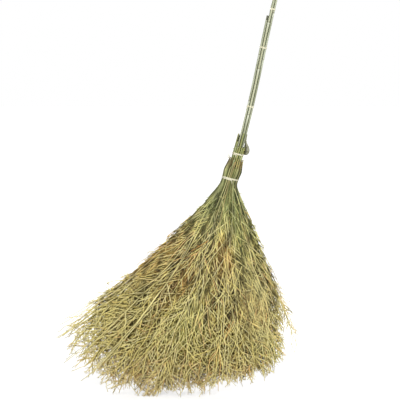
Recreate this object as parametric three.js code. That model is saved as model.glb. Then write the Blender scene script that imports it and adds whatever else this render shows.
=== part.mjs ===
// A big yard broom of bamboo: long culms tied into a handle, a ring of shorter branch stems tied round them
// at the neck, and four bound sprays of fine twigs outside those, which open into a wide fan.
// Millimetres, +Z up. The broom stands on its sweeping edge and leans to +X, as such a broom rests once its
// edge is worn, and the origin is the middle of its footprint. Looking along +Y shows the flat of the fan.
import * as THREE from "three";
import { mergeVertices } from "three/addons/utils/BufferGeometryUtils.js";

const { sin, cos, tan, acos, atan2, hypot, exp, abs, min, max, floor, ceil, round, PI } = Math;
const { lerp, clamp, smoothstep, degToRad } = THREE.MathUtils;

// Driving sizes of the whole broom
const LEAN = degToRad(13.65); // of the handle, from upright towards +X
const NECK_HEIGHT = 944; // from the floor up to the neck, where the fan begins to open
const HANDLE_LENGTH = 830; // from the neck to the end of the longest culm, along the handle
const HANDLE_BOW = 12; // how far the handle bows out towards +X
const HANDLE_STEP = 105; // between the bends that make up the bow
const CLEARANCE = 0.3; // between pieces that lie against each other
const WELD = 0.0001; // how close two corners are that are one

// The fan, whose section is round at the neck and a flat ellipse at the floor
const FAN = {
  halfAngle: degToRad(35), // of the outermost twigs, across the fan
  depthAngle: degToRad(5.6), // of the outermost twigs, to the front and back
  openingLength: 60, // below the neck, over which the twigs turn outwards
  step: 30, // between the bends that make up the opening
  bends: 4,
};
// How far from the neck the twigs reach: turn from the middle as shares of the half angle (minus is towards
// +X), and reach as shares of the neck's height
const REACH_SHARES = [
  [-1.25, 0.6],
  [-1.08, 0.72],
  [-1, 0.86],
  [-0.85, 0.9],
  [-0.7, 0.95],
  [-0.5, 1.03],
  [-0.1, 1.05],
  [0.3, 1.1],
  [0.7, 1.15],
  [0.9, 1.12],
  [1.1, 1.04],
  [1.25, 0.9],
];

// Long culms: one in the middle and six round it. Their cut butts are the top of the handle.
const CULM = {
  buttDiameter: 10.8,
  neckDiameter: 9.6,
  tipDiameter: 2.6,
  fanLength: 560, // from the neck down to the tip
  wall: 2.6, // round the hollow at the butt, which ends at a wall across it
  boreDepth: 26,
  internode: 205,
  ridge: 0.5, // how far a node stands proud
  ridgeLength: 7,
  sides: 8,
};
// Each culm: turn round the middle one in degrees, how far its butt ends below the longest one's, its
// thickness as a share, and its first node below its butt and its length in the fan as shares
const CULMS = [
  { name: "culm_front", turn: 270, drop: 16, sizeShare: 1, nodeShare: 0.5, lengthShare: 1 },
  { name: "culm_front_right", turn: 330, drop: 0, sizeShare: 0.97, nodeShare: 0.36, lengthShare: 0.93 },
  { name: "culm_rear_right", turn: 30, drop: 9, sizeShare: 0.94, nodeShare: 0.62, lengthShare: 0.86 },
  { name: "culm_rear", turn: 90, drop: 24, sizeShare: 0.98, nodeShare: 0.8, lengthShare: 0.97 },
  { name: "culm_rear_left", turn: 150, drop: 92, sizeShare: 0.92, nodeShare: 0.3, lengthShare: 0.9 },
  { name: "culm_front_left", turn: 210, drop: 112, sizeShare: 0.96, nodeShare: 0.74, lengthShare: 0.84 },
  { name: "culm_middle", turn: null, drop: 31, sizeShare: 0.95, nodeShare: 0.15, lengthShare: 1.05 },
];

// Branch stems: shorter bamboo tied round the culms at the neck, with butts at many heights
const STEM = {
  buttDiameter: 8.8,
  neckDiameter: 8.2,
  tipDiameter: 2.2,
  fanLength: 440,
  internode: 150,
  ridge: 0.3,
  ridgeLength: 5,
  sides: 6,
  leastRise: 26, // of a butt above the neck tie
  riseSpread: 82, // from the lowest butt to the highest
  leastLengthShare: 0.75,
};

// Twig sprays: fine twigs bound outside the stems in four handfuls, whose butts are packed tight
const SPRAY = {
  thickness: 12, // of the packed butts
  rise: 60, // of the packed butts above the neck
  rootLength: 90, // below the neck, over which the twigs are packed too tightly to part
  gap: 1.2, // between two sprays at the neck
  lobes: 10, // of each spray's outer surface, one for each butt that lies there
  lobeDepth: 1.2,
  tallButts: 5, // of each spray, which stand above the others
  tallButtDiameter: 6.4,
  tallButtRise: 44,
  leastRiseShare: 0.3,
};
const SPRAYS = [
  { name: "twig_spray_right", turn: 0, columns: 23 },
  { name: "twig_spray_back", turn: 90, columns: 24 },
  { name: "twig_spray_left", turn: 180, columns: 23 },
  { name: "twig_spray_front", turn: 270, columns: 24 },
];
const TWIG = {
  rootDiameter: 2.1,
  middleDiameter: 3,
  tipDiameter: 1.8, // of a twig that is worn flat on the floor. The others end in a point.
  leastGap: 0.35, // between two twigs, or a twig and a stem
  middleShare: 0.42, // of the way down, where a twig bends
  turnStray: degToRad(5), // how far a twig may swing round the fan
  tries: 90, // at a clear way down for each twig
  sides: 3,
  raggedShare: 0.1, // of its reach, by which a twig may fall short
};
// Rows of each spray from the inside out: where a row's twigs start in the packed butts' thickness, where
// they end in the fan's half width, and how far a twig may stray from there
const ROW_START_SHARES = [0.14, 0.36, 0.58, 0.8];
const ROW_END_SHARES = [0.24, 0.52, 0.76, 0.94];
const ROW_STRAY_SHARE = 0.13;
// Where the first twig of a row stands in its column, and how far every other row is shifted
const FIRST_SHARE = 0.25;
const SHIFT_SHARE = 0.5;

// Ties: flat splints wound round the bundle, with the ends turned off along it
const TIE = {
  width: 2.9,
  thickness: 1.2,
  gap: 0.7, // between two turns
  turns: 2.3,
  sag: 0.35, // the most that a straight step of it stands off what it goes round
  searchStep: degToRad(1), // of the turns at which what holds it is looked for
  tailBend: 4,
  tailLength: 11,
  tailSteps: 3,
};
// The three ties of the handle sit at shares of its length, and the two of the head at heights above the neck.
// Each starts at a turn in degrees.
const HANDLE_TIE_SHARES = [0.927, 0.719, 0.405];
const NECK_TIE_HEIGHT = 124;
const HEAD_TIE_HEIGHT = 11;
const TIES = [
  { name: "tie_top", height: HANDLE_LENGTH * HANDLE_TIE_SHARES[0], binds: "culms", start: 282 },
  { name: "tie_upper", height: HANDLE_LENGTH * HANDLE_TIE_SHARES[1], binds: "culms", start: 130 },
  { name: "tie_middle", height: HANDLE_LENGTH * HANDLE_TIE_SHARES[2], binds: "culms", start: 330 },
  { name: "tie_neck", height: NECK_TIE_HEIGHT, binds: "stems", start: 285 },
  { name: "tie_head", height: HEAD_TIE_HEIGHT, binds: "sprays", start: 262 },
];

// Where the streams of numbers start, which place the stems' butts and the twigs
const STEM_SEED = 11;
const FIRST_SPRAY_SEED = 101;

const COLOURS = { culm: 0x9a9d76, stem: 0x8a8a50, twig: 0xb0a45f, tie: 0xece6bd };
const FINISHES = { culm: 0.5, stem: 0.6, twig: 0.8, tie: 0.6 };

// Shared corners merged and collapsed triangles dropped, so that the surface is closed
function closed(geometry) {
  const bare = new THREE.BufferGeometry();
  bare.setAttribute("position", geometry.getAttribute("position"));
  if (geometry.index) bare.setIndex(geometry.index);
  const merged = mergeVertices(bare, WELD);
  const kept = [];
  for (let i = 0; i < merged.index.count; i += 3) {
    const [a, b, c] = [0, 1, 2].map((k) => merged.index.getX(i + k));
    if (a !== b && b !== c && c !== a) kept.push(a, b, c);
  }
  merged.setIndex(kept);
  return merged;
}

// One closed skin, made of rings of corners. Each ring runs anticlockwise seen from where the rings lead to.
class Skin {
  corners = [];
  index = [];

  ring(points) {
    return points.map((point) => this.corners.push(point) - 1);
  }

  triangle(a, b, c) {
    if (a !== b && b !== c && c !== a) this.index.push(a, b, c);
  }

  // The wall from one ring to the next
  wall(from, to) {
    from.forEach((a, i) => {
      const [b, c] = [from.at(i + 1 - from.length), to.at(i + 1 - to.length)];
      this.triangle(a, b, c);
      this.triangle(a, c, to[i]);
    });
  }

  // The walls along a row of rings
  walls(rings) {
    for (let i = 1; i < rings.length; i++) this.wall(rings[i - 1], rings[i]);
  }

  // A flat end over a plain ring
  cap(ring) {
    for (let k = 1; k < ring.length - 1; k++) this.triangle(ring[0], ring[k], ring[k + 1]);
  }

  // A level end with holes in it, which faces up or down
  level(outer, holes, faces) {
    const seen = (ring) => ring.map((i) => new THREE.Vector2(this.corners[i].x, this.corners[i].y));
    const all = [outer, ...holes].flat();
    for (const triangle of THREE.ShapeUtils.triangulateShape(seen(outer), holes.map(seen))) {
      const ring = triangle.map((k) => all[k]);
      const up = !THREE.ShapeUtils.isClockWise(seen(ring));
      this.triangle(...(up === (faces === "up") ? ring : ring.reverse()));
    }
  }

  geometry() {
    const geometry = new THREE.BufferGeometry().setFromPoints(this.corners);
    return geometry.setIndex(this.index);
  }
}

// A repeatable stream of numbers from 0 to 1. Each one's seed is the last one's times a multiplier, plus the
// seeds that are skipped, counted round among all seeds. These values are commonly used for it.
const SEED_MULTIPLIER = 1664525;
const SKIPPED_SEEDS = 1013904223;
const ALL_SEEDS = 2 ** 32;
function numbers(firstSeed) {
  let seed = firstSeed;
  return () => {
    seed = (seed * SEED_MULTIPLIER + SKIPPED_SEEDS) % ALL_SEEDS;
    return seed / ALL_SEEDS;
  };
}

// Heights above the neck at which everything in the bundle bends, so that what lies side by side bends alike
const bendsInFan = Array.from({ length: FAN.bends }, (_, i) => (i - FAN.bends) * FAN.step);
const bendsInHandle = Array.from({ length: ceil(HANDLE_LENGTH / HANDLE_STEP) + 1 }, (_, i) => i * HANDLE_STEP);
const BENDS = [-2 * NECK_HEIGHT, ...bendsInFan, ...bendsInHandle];

// A curve at a height, on the straight stretch between the bends above and below it
function betweenBends(curve, height) {
  const above = max(BENDS.findIndex((bend) => bend > height), 1);
  const [low, high] = [BENDS[above - 1], BENDS[above]];
  return lerp(curve(low), curve(high), (height - low) / (high - low));
}

// The bundle's middle line, by height above the neck: bowed along the handle, straight in the fan
const bowPeakShare = 4 / 27; // the highest that x (1 - x)^2 gets
const bowSlope = HANDLE_BOW / bowPeakShare / HANDLE_LENGTH;
const settled = (height) => FAN.openingLength * (1 - exp(height / FAN.openingLength));
function bowed(height) {
  if (height < 0) return -bowSlope * settled(height);
  return bowSlope * height * (1 - min(height / HANDLE_LENGTH, 1)) ** 2;
}
const middleLine = (height) => betweenBends(bowed, height);

// Thickness of a tapered piece by height: from its butt to the neck, and from there to its tip
function taper(piece, buttHeight, height) {
  if (height >= 0) return lerp(piece.neckDiameter, piece.buttDiameter, height / buttHeight);
  return lerp(piece.neckDiameter, piece.tipDiameter, -height / piece.fanLength);
}

// Layers of the bundle by height above the neck, each clear of the one inside it
const highestStem = NECK_TIE_HEIGHT + STEM.leastRise + STEM.riseSpread;
const culmDiameter = (height) => taper(CULM, HANDLE_LENGTH, height);
const stemDiameter = (height) => taper(STEM, highestStem, height);
const culmRing = (height) => culmDiameter(height) + CULM.ridge + CLEARANCE;
const culmsRadius = (height) => culmRing(height) + culmDiameter(height) / 2 + CULM.ridge;
const stemHalf = (height) => stemDiameter(height) / 2 + STEM.ridge;
const stemRing = (height) => culmsRadius(height) + CLEARANCE + stemHalf(height);
const sprayInside = (height) => stemRing(height) + stemHalf(height) + CLEARANCE;
const sprayOutside = (height) => sprayInside(height) + SPRAY.thickness;
const stemCount = floor((2 * PI * stemRing(0)) / (2 * stemHalf(0) + CLEARANCE));

// How many times as wide as at the neck the bundle is at a height
const turnedOut = (height) => (height < 0 ? -height - settled(height) : 0);
const opening = (angle, height) => 1 + (tan(angle) * betweenBends(turnedOut, height)) / sprayOutside(0);

// The point at a radius and a turn round the bundle. Below the neck the radius is the one at the neck.
function place(radius, turn, height) {
  const across = radius * opening(FAN.halfAngle, height) * cos(turn);
  const deep = radius * opening(FAN.depthAngle, height) * sin(turn);
  return new THREE.Vector3(middleLine(height) + across, deep, height);
}
const upTo = (layer) => (height) => layer(max(height, 0));

// The place of a line at a height, and two directions square to it there
function frameOf(lineAt, height) {
  const at = lineAt(height);
  const along = lineAt(height + CLEARANCE).sub(lineAt(height - CLEARANCE)).normalize();
  const side = new THREE.Vector3(1, 0, 0).addScaledVector(along, -along.x).normalize();
  return { at, side, back: new THREE.Vector3().crossVectors(side, along) };
}

// A piece turned round the Y axis, bent along a line that gives the point at each height
function bend(geometry, lineAt) {
  const positions = geometry.getAttribute("position");
  for (let i = 0; i < positions.count; i++) {
    const [x, y, z] = [positions.getX(i), positions.getY(i), positions.getZ(i)];
    const { at, side, back } = frameOf(lineAt, y);
    at.addScaledVector(side, x).addScaledVector(back, z);
    positions.setXYZ(i, at.x, at.y, at.z);
  }
  return geometry;
}

// Heights of the nodes of a bamboo between its butt and its tip
function nodeHeights(piece, butt, tip, firstShare) {
  const heights = [];
  const margin = 2 * piece.ridgeLength;
  for (let height = butt - firstShare * piece.internode; height > tip + margin; height -= piece.internode)
    if (height < butt - margin) heights.push(height);
  return heights;
}

// Half the outline of a bamboo from its tip to its butt, with a ridge at each node and a corner at each bend
function bambooOutline(piece, radiusAt, butt, tip, nodes) {
  const half = piece.ridgeLength / 2;
  const slimShare = (height) => min(1, (2 * radiusAt(height)) / piece.neckDiameter);
  const nearness = (height) => max(0, ...nodes.map((node) => 1 - abs(height - node) / half));
  const heights = [tip, butt, ...BENDS.filter((bend) => bend > tip && bend < butt)];
  heights.push(...nodes.flatMap((node) => [node - half, node, node + half]));
  heights.sort((a, b) => a - b);
  const ridgeAt = (height) => piece.ridge * slimShare(height) * nearness(height);
  return [new THREE.Vector2(0, tip), ...heights.map((y) => new THREE.Vector2(radiusAt(y) + ridgeAt(y), y))];
}

// A bamboo: its nodes, its thickness by height and its turned outline, bent along its line
function bamboo(piece, layer, { name, turn, butt, sizeShare, nodeShare, lengthShare, bore }) {
  const tip = -piece.fanLength * lengthShare;
  const diameter = piece === CULM ? culmDiameter : stemDiameter;
  const radiusAt = (height) => (diameter(height < 0 ? height / lengthShare : height) * sizeShare) / 2;
  const nodes = nodeHeights(piece, butt, tip, nodeShare);
  const outline = bambooOutline(piece, radiusAt, butt, tip, nodes);
  if (bore) {
    const inside = radiusAt(butt) - piece.wall;
    outline.push(new THREE.Vector2(inside, butt), new THREE.Vector2(inside, butt - piece.boreDepth));
  }
  outline.push(new THREE.Vector2(0, outline.at(-1).y));
  const lineAt = (height) => place(layer(height), turn, height);
  const geometry = closed(bend(new THREE.LatheGeometry(outline, piece.sides), lineAt));
  return { name, geometry, lineAt, butt, tip, nodes, radiusAt, piece };
}

// A long culm: open at its butt, down to the wall across its first node
function makeCulm({ name, turn, drop, ...shares }) {
  const layer = turn === null ? () => 0 : upTo(culmRing);
  const own = { name, turn: degToRad(turn ?? 0), butt: HANDLE_LENGTH - drop, bore: true };
  return bamboo(CULM, layer, { ...own, ...shares });
}

function makeStem(index, random) {
  const butt = NECK_TIE_HEIGHT + STEM.leastRise + STEM.riseSpread * random();
  const shares = { sizeShare: 1, nodeShare: random(), lengthShare: lerp(STEM.leastLengthShare, 1, random()) };
  const name = "branch_stem_" + String(index + 1).padStart(2, "0");
  const turn = (2 * PI * (index + 0.5)) / stemCount;
  return bamboo(STEM, upTo(stemRing), { name, turn, butt, ...shares });
}

// The straight, tapered stretches of a bamboo below the neck, which the twigs keep clear of
function stretchesOf({ lineAt, tip, radiusAt, piece }) {
  const heights = [tip, ...BENDS.filter((bend) => bend > tip && bend <= 0)];
  const ends = heights.map((height) => ({ at: lineAt(height), radius: radiusAt(height) + piece.ridge }));
  return ends.slice(1).map((end, i) => [ends[i], end]);
}

// The gap between two straight, tapered stretches where their middle lines pass closest
function gapBetween([a, b], [c, d]) {
  const ab = b.at.clone().sub(a.at);
  const cd = d.at.clone().sub(c.at);
  const ac = a.at.clone().sub(c.at);
  const [aa, cross, cc, abAc, cdAc] = [ab.dot(ab), ab.dot(cd), cd.dot(cd), ab.dot(ac), cd.dot(ac)];
  const spread = aa * cc - cross * cross;
  const first = spread > 0 ? clamp((cross * cdAc - abAc * cc) / spread, 0, 1) : 0;
  const onSecond = clamp((cross * first + cdAc) / cc, 0, 1);
  const onFirst = clamp((cross * onSecond - abAc) / aa, 0, 1);
  const distance = ac.addScaledVector(ab, onFirst).addScaledVector(cd, -onSecond).length();
  return distance - lerp(a.radius, b.radius, onFirst) - lerp(c.radius, d.radius, onSecond);
}

// Height above the floor of a point in the handle's own frame
const aboveFloor = ({ x, z }) => NECK_HEIGHT + z * cos(LEAN) - x * sin(LEAN);

// How far from the neck a twig may reach in its direction
function reachTowards({ x, z }) {
  const share = atan2(-x, -z) / FAN.halfAngle;
  const next = REACH_SHARES.findIndex(([turnShare]) => turnShare > share);
  if (next <= 0) return NECK_HEIGHT * REACH_SHARES.at(next)[1];
  const [[fromTurn, from], [toTurn, to]] = REACH_SHARES.slice(next - 1, next + 1);
  return NECK_HEIGHT * lerp(from, to, (share - fromTurn) / (toTurn - fromTurn));
}

// The root, the bend and the tip of a twig. It ends at its reach or on the floor.
function twigPoints(row, turn, random) {
  const rootHeight = -SPRAY.rootLength;
  const rootRadius = sprayInside(0) + SPRAY.thickness * ROW_START_SHARES[row];
  const endShare = min(ROW_END_SHARES[row] + ROW_STRAY_SHARE * (2 * random() - 1), 1);
  const endTurn = turn + TWIG.turnStray * (2 * random() - 1);
  const reachShare = 1 - TWIG.raggedShare * random();
  const lineAt = (height) => {
    const way = smoothstep(-height, -rootHeight, NECK_HEIGHT);
    const radius = lerp(rootRadius, sprayOutside(0) * endShare, way);
    return place(radius, lerp(turn, endTurn, way), height);
  };
  let [short, long] = [-rootHeight, 2 * NECK_HEIGHT];
  while (long - short > CLEARANCE / 10) {
    const tried = (short + long) / 2;
    const tip = lineAt(-tried);
    const within = tip.length() < reachShare * reachTowards(tip) && aboveFloor(tip) > 0;
    [short, long] = within ? [tried, long] : [short, tried];
  }
  return [lineAt(rootHeight), lineAt(lerp(rootHeight, -short, TWIG.middleShare)), lineAt(-short)];
}
function twigStretches([root, middle, tip]) {
  const diameters = [TWIG.rootDiameter, TWIG.middleDiameter, TWIG.tipDiameter];
  const ends = [root, middle, tip].map((at, i) => ({ at, radius: diameters[i] / 2 }));
  return [ends.slice(0, 2), ends.slice(1)];
}

// The corners round a point of a twig, across its way down
function twigRing(point, diameter, along) {
  const side = new THREE.Vector3(1, 0, 0).addScaledVector(along, -along.x).normalize();
  const back = new THREE.Vector3().crossVectors(side, along);
  return Array.from({ length: TWIG.sides }, (_, k) => {
    const turn = (2 * PI * k) / TWIG.sides;
    const corner = point.clone().addScaledVector(side, (diameter / 2) * cos(turn));
    return corner.addScaledVector(back, (diameter / 2) * sin(turn));
  });
}

// A twig, grown down from a hole in the level end of the packed butts. It ends in a point, or is worn flat
// where it reaches the floor.
function growTwig(skin, [root, middle, tip]) {
  const down = new THREE.Vector3(0, 0, -1);
  const whole = tip.clone().sub(root).normalize();
  const last = tip.clone().sub(middle).normalize();
  const hole = skin.ring(twigRing(root, TWIG.rootDiameter, down));
  const bent = skin.ring(twigRing(middle, TWIG.middleDiameter, whole));
  skin.wall(bent, hole);
  if (aboveFloor(tip) > CLEARANCE) {
    const [point] = skin.ring([tip]);
    skin.wall(bent.map(() => point), bent);
    return hole;
  }
  const fall = last.x * sin(LEAN) - last.z * cos(LEAN);
  const worn = twigRing(tip, TWIG.tipDiameter, last);
  for (const corner of worn) corner.addScaledVector(last, aboveFloor(corner) / fall);
  const end = skin.ring(worn);
  skin.wall(end, bent);
  skin.cap(end.reverse());
  return hole;
}

// The outline of a spray's packed butts at a height: a sector of a ring, with a lobe for each butt outside
function packedRing(turn, height) {
  const half = PI / 4 - SPRAY.gap / 2 / sprayInside(0);
  const inside = upTo(sprayInside)(height);
  const outer = Array.from({ length: 2 * SPRAY.lobes + 1 }, (_, i) => {
    const radius = inside + SPRAY.thickness - (i % 2 ? 0 : SPRAY.lobeDepth);
    return place(radius, turn + lerp(-half, half, i / 2 / SPRAY.lobes), height);
  });
  const inner = Array.from({ length: SPRAY.lobes + 1 }, (_, i) =>
    place(inside, turn + lerp(half, -half, i / SPRAY.lobes), height),
  );
  return [...outer, ...inner];
}

// A butt that stands above the rest of its spray, from a hole in the packed butts' upper end
function growButt(skin, turn, random) {
  const half = SPRAY.tallButtDiameter / 2;
  const top = SPRAY.rise + SPRAY.tallButtRise * lerp(SPRAY.leastRiseShare, 1, random());
  const [hole, end] = [SPRAY.rise, top].map((height) => {
    const middle = place(sprayInside(height) + (SPRAY.thickness - SPRAY.lobeDepth) / 2, turn, height);
    const corners = Array.from({ length: STEM.sides }, (_, k) => {
      const around = (2 * PI * k) / STEM.sides;
      return middle.clone().add(new THREE.Vector3(half * cos(around), half * sin(around), 0));
    });
    return skin.ring(corners);
  });
  skin.wall(hole, end);
  skin.cap(end);
  return hole;
}

// A spray: its packed butts, the taller butts on them, and its twigs, each of which takes the first clear way
// down that it finds
function makeSpray({ name, turn, columns }, seed, taken) {
  const random = numbers(seed);
  const middle = degToRad(turn);
  const half = PI / 4 - (SPRAY.gap + TWIG.rootDiameter) / 2 / sprayInside(0);
  const skin = new Skin();
  const heights = [-SPRAY.rootLength, ...BENDS.filter((bend) => bend > -SPRAY.rootLength && bend < SPRAY.rise)];
  const rings = [...heights, SPRAY.rise].map((height) => skin.ring(packedRing(middle, height)));
  skin.walls(rings);
  const butts = Array.from({ length: SPRAY.tallButts }, (_, i) =>
    growButt(skin, middle + lerp(-half, half, (i + 0.5) / SPRAY.tallButts), random),
  );
  skin.level(rings.at(-1), butts, "up");
  const twigs = [];
  for (const row of ROW_END_SHARES.keys())
    for (let column = 0; column < columns; column++) {
      const share = (column + FIRST_SHARE + (row % 2) * SHIFT_SHARE) / columns;
      const points = clearWay(row, middle + lerp(-half, half, share), random, taken);
      if (!points) continue;
      taken.push(...twigStretches(points));
      twigs.push(growTwig(skin, points));
    }
  skin.level(rings[0], twigs, "down");
  return { name, geometry: skin.geometry(), twigs: twigs.length };
}

function clearWay(row, turn, random, taken) {
  for (let tried = 0; tried < TWIG.tries; tried++) {
    const points = twigPoints(row, turn, random);
    const clearOf = (stretch) => taken.every((other) => gapBetween(stretch, other) > TWIG.leastGap);
    if (twigStretches(points).every(clearOf)) return points;
  }
  return null;
}

// The circles that a tie goes round, placed from the bundle's middle line
function boundCircles(binds, height, culms, stems) {
  if (binds === "sprays") return [{ x: 0, y: 0, radius: sprayOutside(height) }];
  const reach = (TIE.turns * (TIE.width + TIE.gap)) / 2 + TIE.tailBend + TIE.tailLength;
  const bound = (binds === "stems" ? stems : culms).filter(({ butt }) => butt > height);
  return bound.map(({ lineAt, radiusAt, nodes, piece }) => {
    const { x, y } = lineAt(height);
    const near = nodes.some((node) => abs(node - height) < reach + piece.ridgeLength / 2);
    return { x: x - middleLine(height), y, radius: radiusAt(height) + (near ? piece.ridge : 0) };
  });
}

// Stops of a line pulled taut round circles between two turns: on each circle that it touches it follows an
// arc, and from there it runs straight to the next
function tautLine(circles, lift, from, to) {
  const support = ({ x, y, radius }, turn) => x * cos(turn) + y * sin(turn) + radius;
  const outermost = (turn) => circles.reduce((a, b) => (support(b, turn) > support(a, turn) ? b : a));
  const stops = [];
  const follow = (circle, arcFrom, arcTo) => {
    const step = 2 * acos(1 - TIE.sag / (circle.radius + lift));
    const steps = max(1, round((arcTo - arcFrom) / step));
    const radius = (circle.radius + lift) / cos((arcTo - arcFrom) / steps / 2);
    for (let i = 0; i <= steps; i++) {
      const turn = lerp(arcFrom, arcTo, i / steps);
      stops.push({ turn, x: circle.x + radius * cos(turn), y: circle.y + radius * sin(turn) });
    }
  };
  let [held, arcFrom] = [outermost(from), from];
  for (let turn = from + TIE.searchStep; turn < to; turn += TIE.searchStep) {
    const next = outermost(turn);
    if (next === held) continue;
    const [dx, dy] = [held.x - next.x, held.y - next.y];
    const change = atan2(dy, dx) + acos((next.radius - held.radius) / hypot(dx, dy));
    const arcTo = change + 2 * PI * round((turn - change) / (2 * PI));
    follow(held, arcFrom, arcTo);
    [held, arcFrom] = [next, arcTo];
  }
  follow(held, arcFrom, to);
  return stops;
}

// A tie: a splint pulled taut round its circles, with one end turned down the bundle and the other up it
function makeTie({ name, height, binds, start }, culms, stems) {
  const lift = CLEARANCE + TIE.thickness / 2;
  const [from, to] = [degToRad(start), degToRad(start) + 2 * PI * TIE.turns];
  const stops = tautLine(boundCircles(binds, height, culms, stems), lift, from, to);
  const lengths = [0];
  for (let i = 1; i < stops.length; i++)
    lengths.push(lengths[i - 1] + hypot(stops[i].x - stops[i - 1].x, stops[i].y - stops[i - 1].y));
  const climb = TIE.turns * (TIE.width + TIE.gap);
  const at = ({ turn, x, y }, ahead, rise) => {
    const z = height + rise;
    const point = new THREE.Vector3(x + middleLine(z) - sin(turn) * ahead, y + cos(turn) * ahead, z);
    return { point, outward: new THREE.Vector3(cos(turn), sin(turn), 0) };
  };
  const tail = (stop, rise, way) => {
    const places = Array.from({ length: TIE.tailSteps }, (_, i) => {
      const turned = ((PI / 2) * (i + 1)) / TIE.tailSteps;
      return at(stop, way * TIE.tailBend * sin(turned), rise + way * TIE.tailBend * (1 - cos(turned)));
    });
    return [...places, at(stop, way * TIE.tailBend, rise + way * (TIE.tailBend + TIE.tailLength))];
  };
  const wound = stops.map((stop, i) => at(stop, 0, climb * (lengths[i] / lengths.at(-1) - 0.5)));
  const path = [...tail(stops[0], -climb / 2, -1).reverse(), ...wound, ...tail(stops.at(-1), climb / 2, 1)];
  const sections = path.map((_, i) => splintSection(path, i));
  const skin = new Skin();
  const rings = sections.map((section) => skin.ring(section));
  skin.walls(rings);
  skin.cap(rings[0].toReversed());
  skin.cap(rings.at(-1));
  return { name, geometry: skin.geometry(), gap: leastGap(sections, wound.length / TIE.turns) };
}

// The splint's flat section at a place of its path
function splintSection(path, i) {
  const { point, outward } = path[i];
  const along = path[min(i + 1, path.length - 1)].point.clone().sub(path[max(i - 1, 0)].point).normalize();
  const wide = new THREE.Vector3().crossVectors(outward, along).normalize();
  const sectionShares = [[1, 1], [-1, 1], [-1, -1], [1, -1]];
  return sectionShares.map(([wideShare, thickShare]) => {
    const corner = point.clone().addScaledVector(wide, (wideShare * TIE.width) / 2);
    return corner.addScaledVector(outward, (thickShare * TIE.thickness) / 2);
  });
}

// The least distance between corners of a tie that lie over half a turn apart along it
function leastGap(rings, ringsPerTurn) {
  let least = Infinity;
  rings.forEach((ring, i) => {
    for (const other of rings.slice(i + floor(ringsPerTurn / 2)))
      for (const a of ring) for (const b of other) least = min(least, a.distanceTo(b));
  });
  return least;
}

const culms = CULMS.map(makeCulm);
const stemNumbers = numbers(STEM_SEED);
const stems = Array.from({ length: stemCount }, (_, index) => makeStem(index, stemNumbers));
const taken = [...culms, ...stems].flatMap(stretchesOf);
const sprays = SPRAYS.map((spray, index) => makeSpray(spray, FIRST_SPRAY_SEED + index, taken));
const ties = TIES.map((tie) => makeTie(tie, culms, stems));

const leaning = new THREE.Group();
for (const [kind, pieces] of Object.entries({ culm: culms, stem: stems, twig: sprays, tie: ties }))
  for (const { name, geometry } of pieces) {
    geometry.computeVertexNormals();
    const finish = { color: COLOURS[kind], roughness: FINISHES[kind], metalness: 0 };
    const mesh = new THREE.Mesh(geometry, new THREE.MeshStandardMaterial(finish));
    mesh.name = name;
    leaning.add(mesh);
  }

// The handle leans, the neck is at its height, and the origin goes to the middle of the footprint
leaning.rotation.y = LEAN;
leaning.position.z = NECK_HEIGHT;
const centre = new THREE.Box3().setFromObject(leaning, true).getCenter(new THREE.Vector3());
leaning.position.x -= centre.x;
leaning.position.y -= centre.y;

const broom = new THREE.Group();
broom.add(leaning);

for (const { name, gap } of ties) console.log(`${name}: least gap to itself ${gap.toFixed(2)} mm`);
console.log("twigs:", sprays.map(({ name, twigs }) => `${name} ${twigs}`).join(", "));
console.log("neck at", leaning.position.toArray().map((x) => x.toFixed(2)).join(", "));

export default broom;
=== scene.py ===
"""A tall bamboo yard broom, dressed round its solid model. Metres, +Z up, the handle leans to +X."""
import math

import bpy
import numpy as np
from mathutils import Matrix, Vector


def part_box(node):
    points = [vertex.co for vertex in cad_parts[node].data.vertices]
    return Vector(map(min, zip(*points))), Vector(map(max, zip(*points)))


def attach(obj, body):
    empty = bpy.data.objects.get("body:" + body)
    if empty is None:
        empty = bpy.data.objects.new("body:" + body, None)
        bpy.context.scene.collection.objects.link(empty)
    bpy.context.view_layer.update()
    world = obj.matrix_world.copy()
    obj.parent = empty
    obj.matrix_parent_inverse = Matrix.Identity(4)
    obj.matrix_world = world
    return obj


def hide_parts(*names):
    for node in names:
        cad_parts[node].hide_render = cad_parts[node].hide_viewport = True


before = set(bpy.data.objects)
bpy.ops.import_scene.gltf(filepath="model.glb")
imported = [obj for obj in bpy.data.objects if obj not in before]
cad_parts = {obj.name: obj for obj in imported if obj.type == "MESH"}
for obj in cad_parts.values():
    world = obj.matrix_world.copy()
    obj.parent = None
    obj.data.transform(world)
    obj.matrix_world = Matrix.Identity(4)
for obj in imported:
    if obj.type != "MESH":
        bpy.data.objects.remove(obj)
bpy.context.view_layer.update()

MM = 0.001

# The broom's own directions: up the handle, across the fan towards its long side, and from front to back
LEAN = math.radians(13.65)
UP = np.array([math.sin(LEAN), 0, math.cos(LEAN)])
SIDE = np.array([-math.cos(LEAN), 0, math.sin(LEAN)])
BACK = np.array([0.0, 1.0, 0.0])
NECK_HEIGHT = 944 * MM  # from the floor up to the neck, where the fan begins to open

# The fan: round at the neck, a flat ellipse further down. Its short side towards +X opens at once, and its
# long side opens more and more.
FAN_ANGLE = math.radians(35)  # from its middle to its border
FAN_DEPTH_ANGLE = math.radians(5.4)
SHORT_SIDE_SPREAD = 0.72  # how much wider the short side gets for each length down
OPENING_LENGTH = 44 * MM  # below the neck, over which it begins to open
LONG_SIDE_SPREAD = 0.44
LONG_SIDE_FLARE = 0.36  # and how much more it spreads for each metre down
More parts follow.
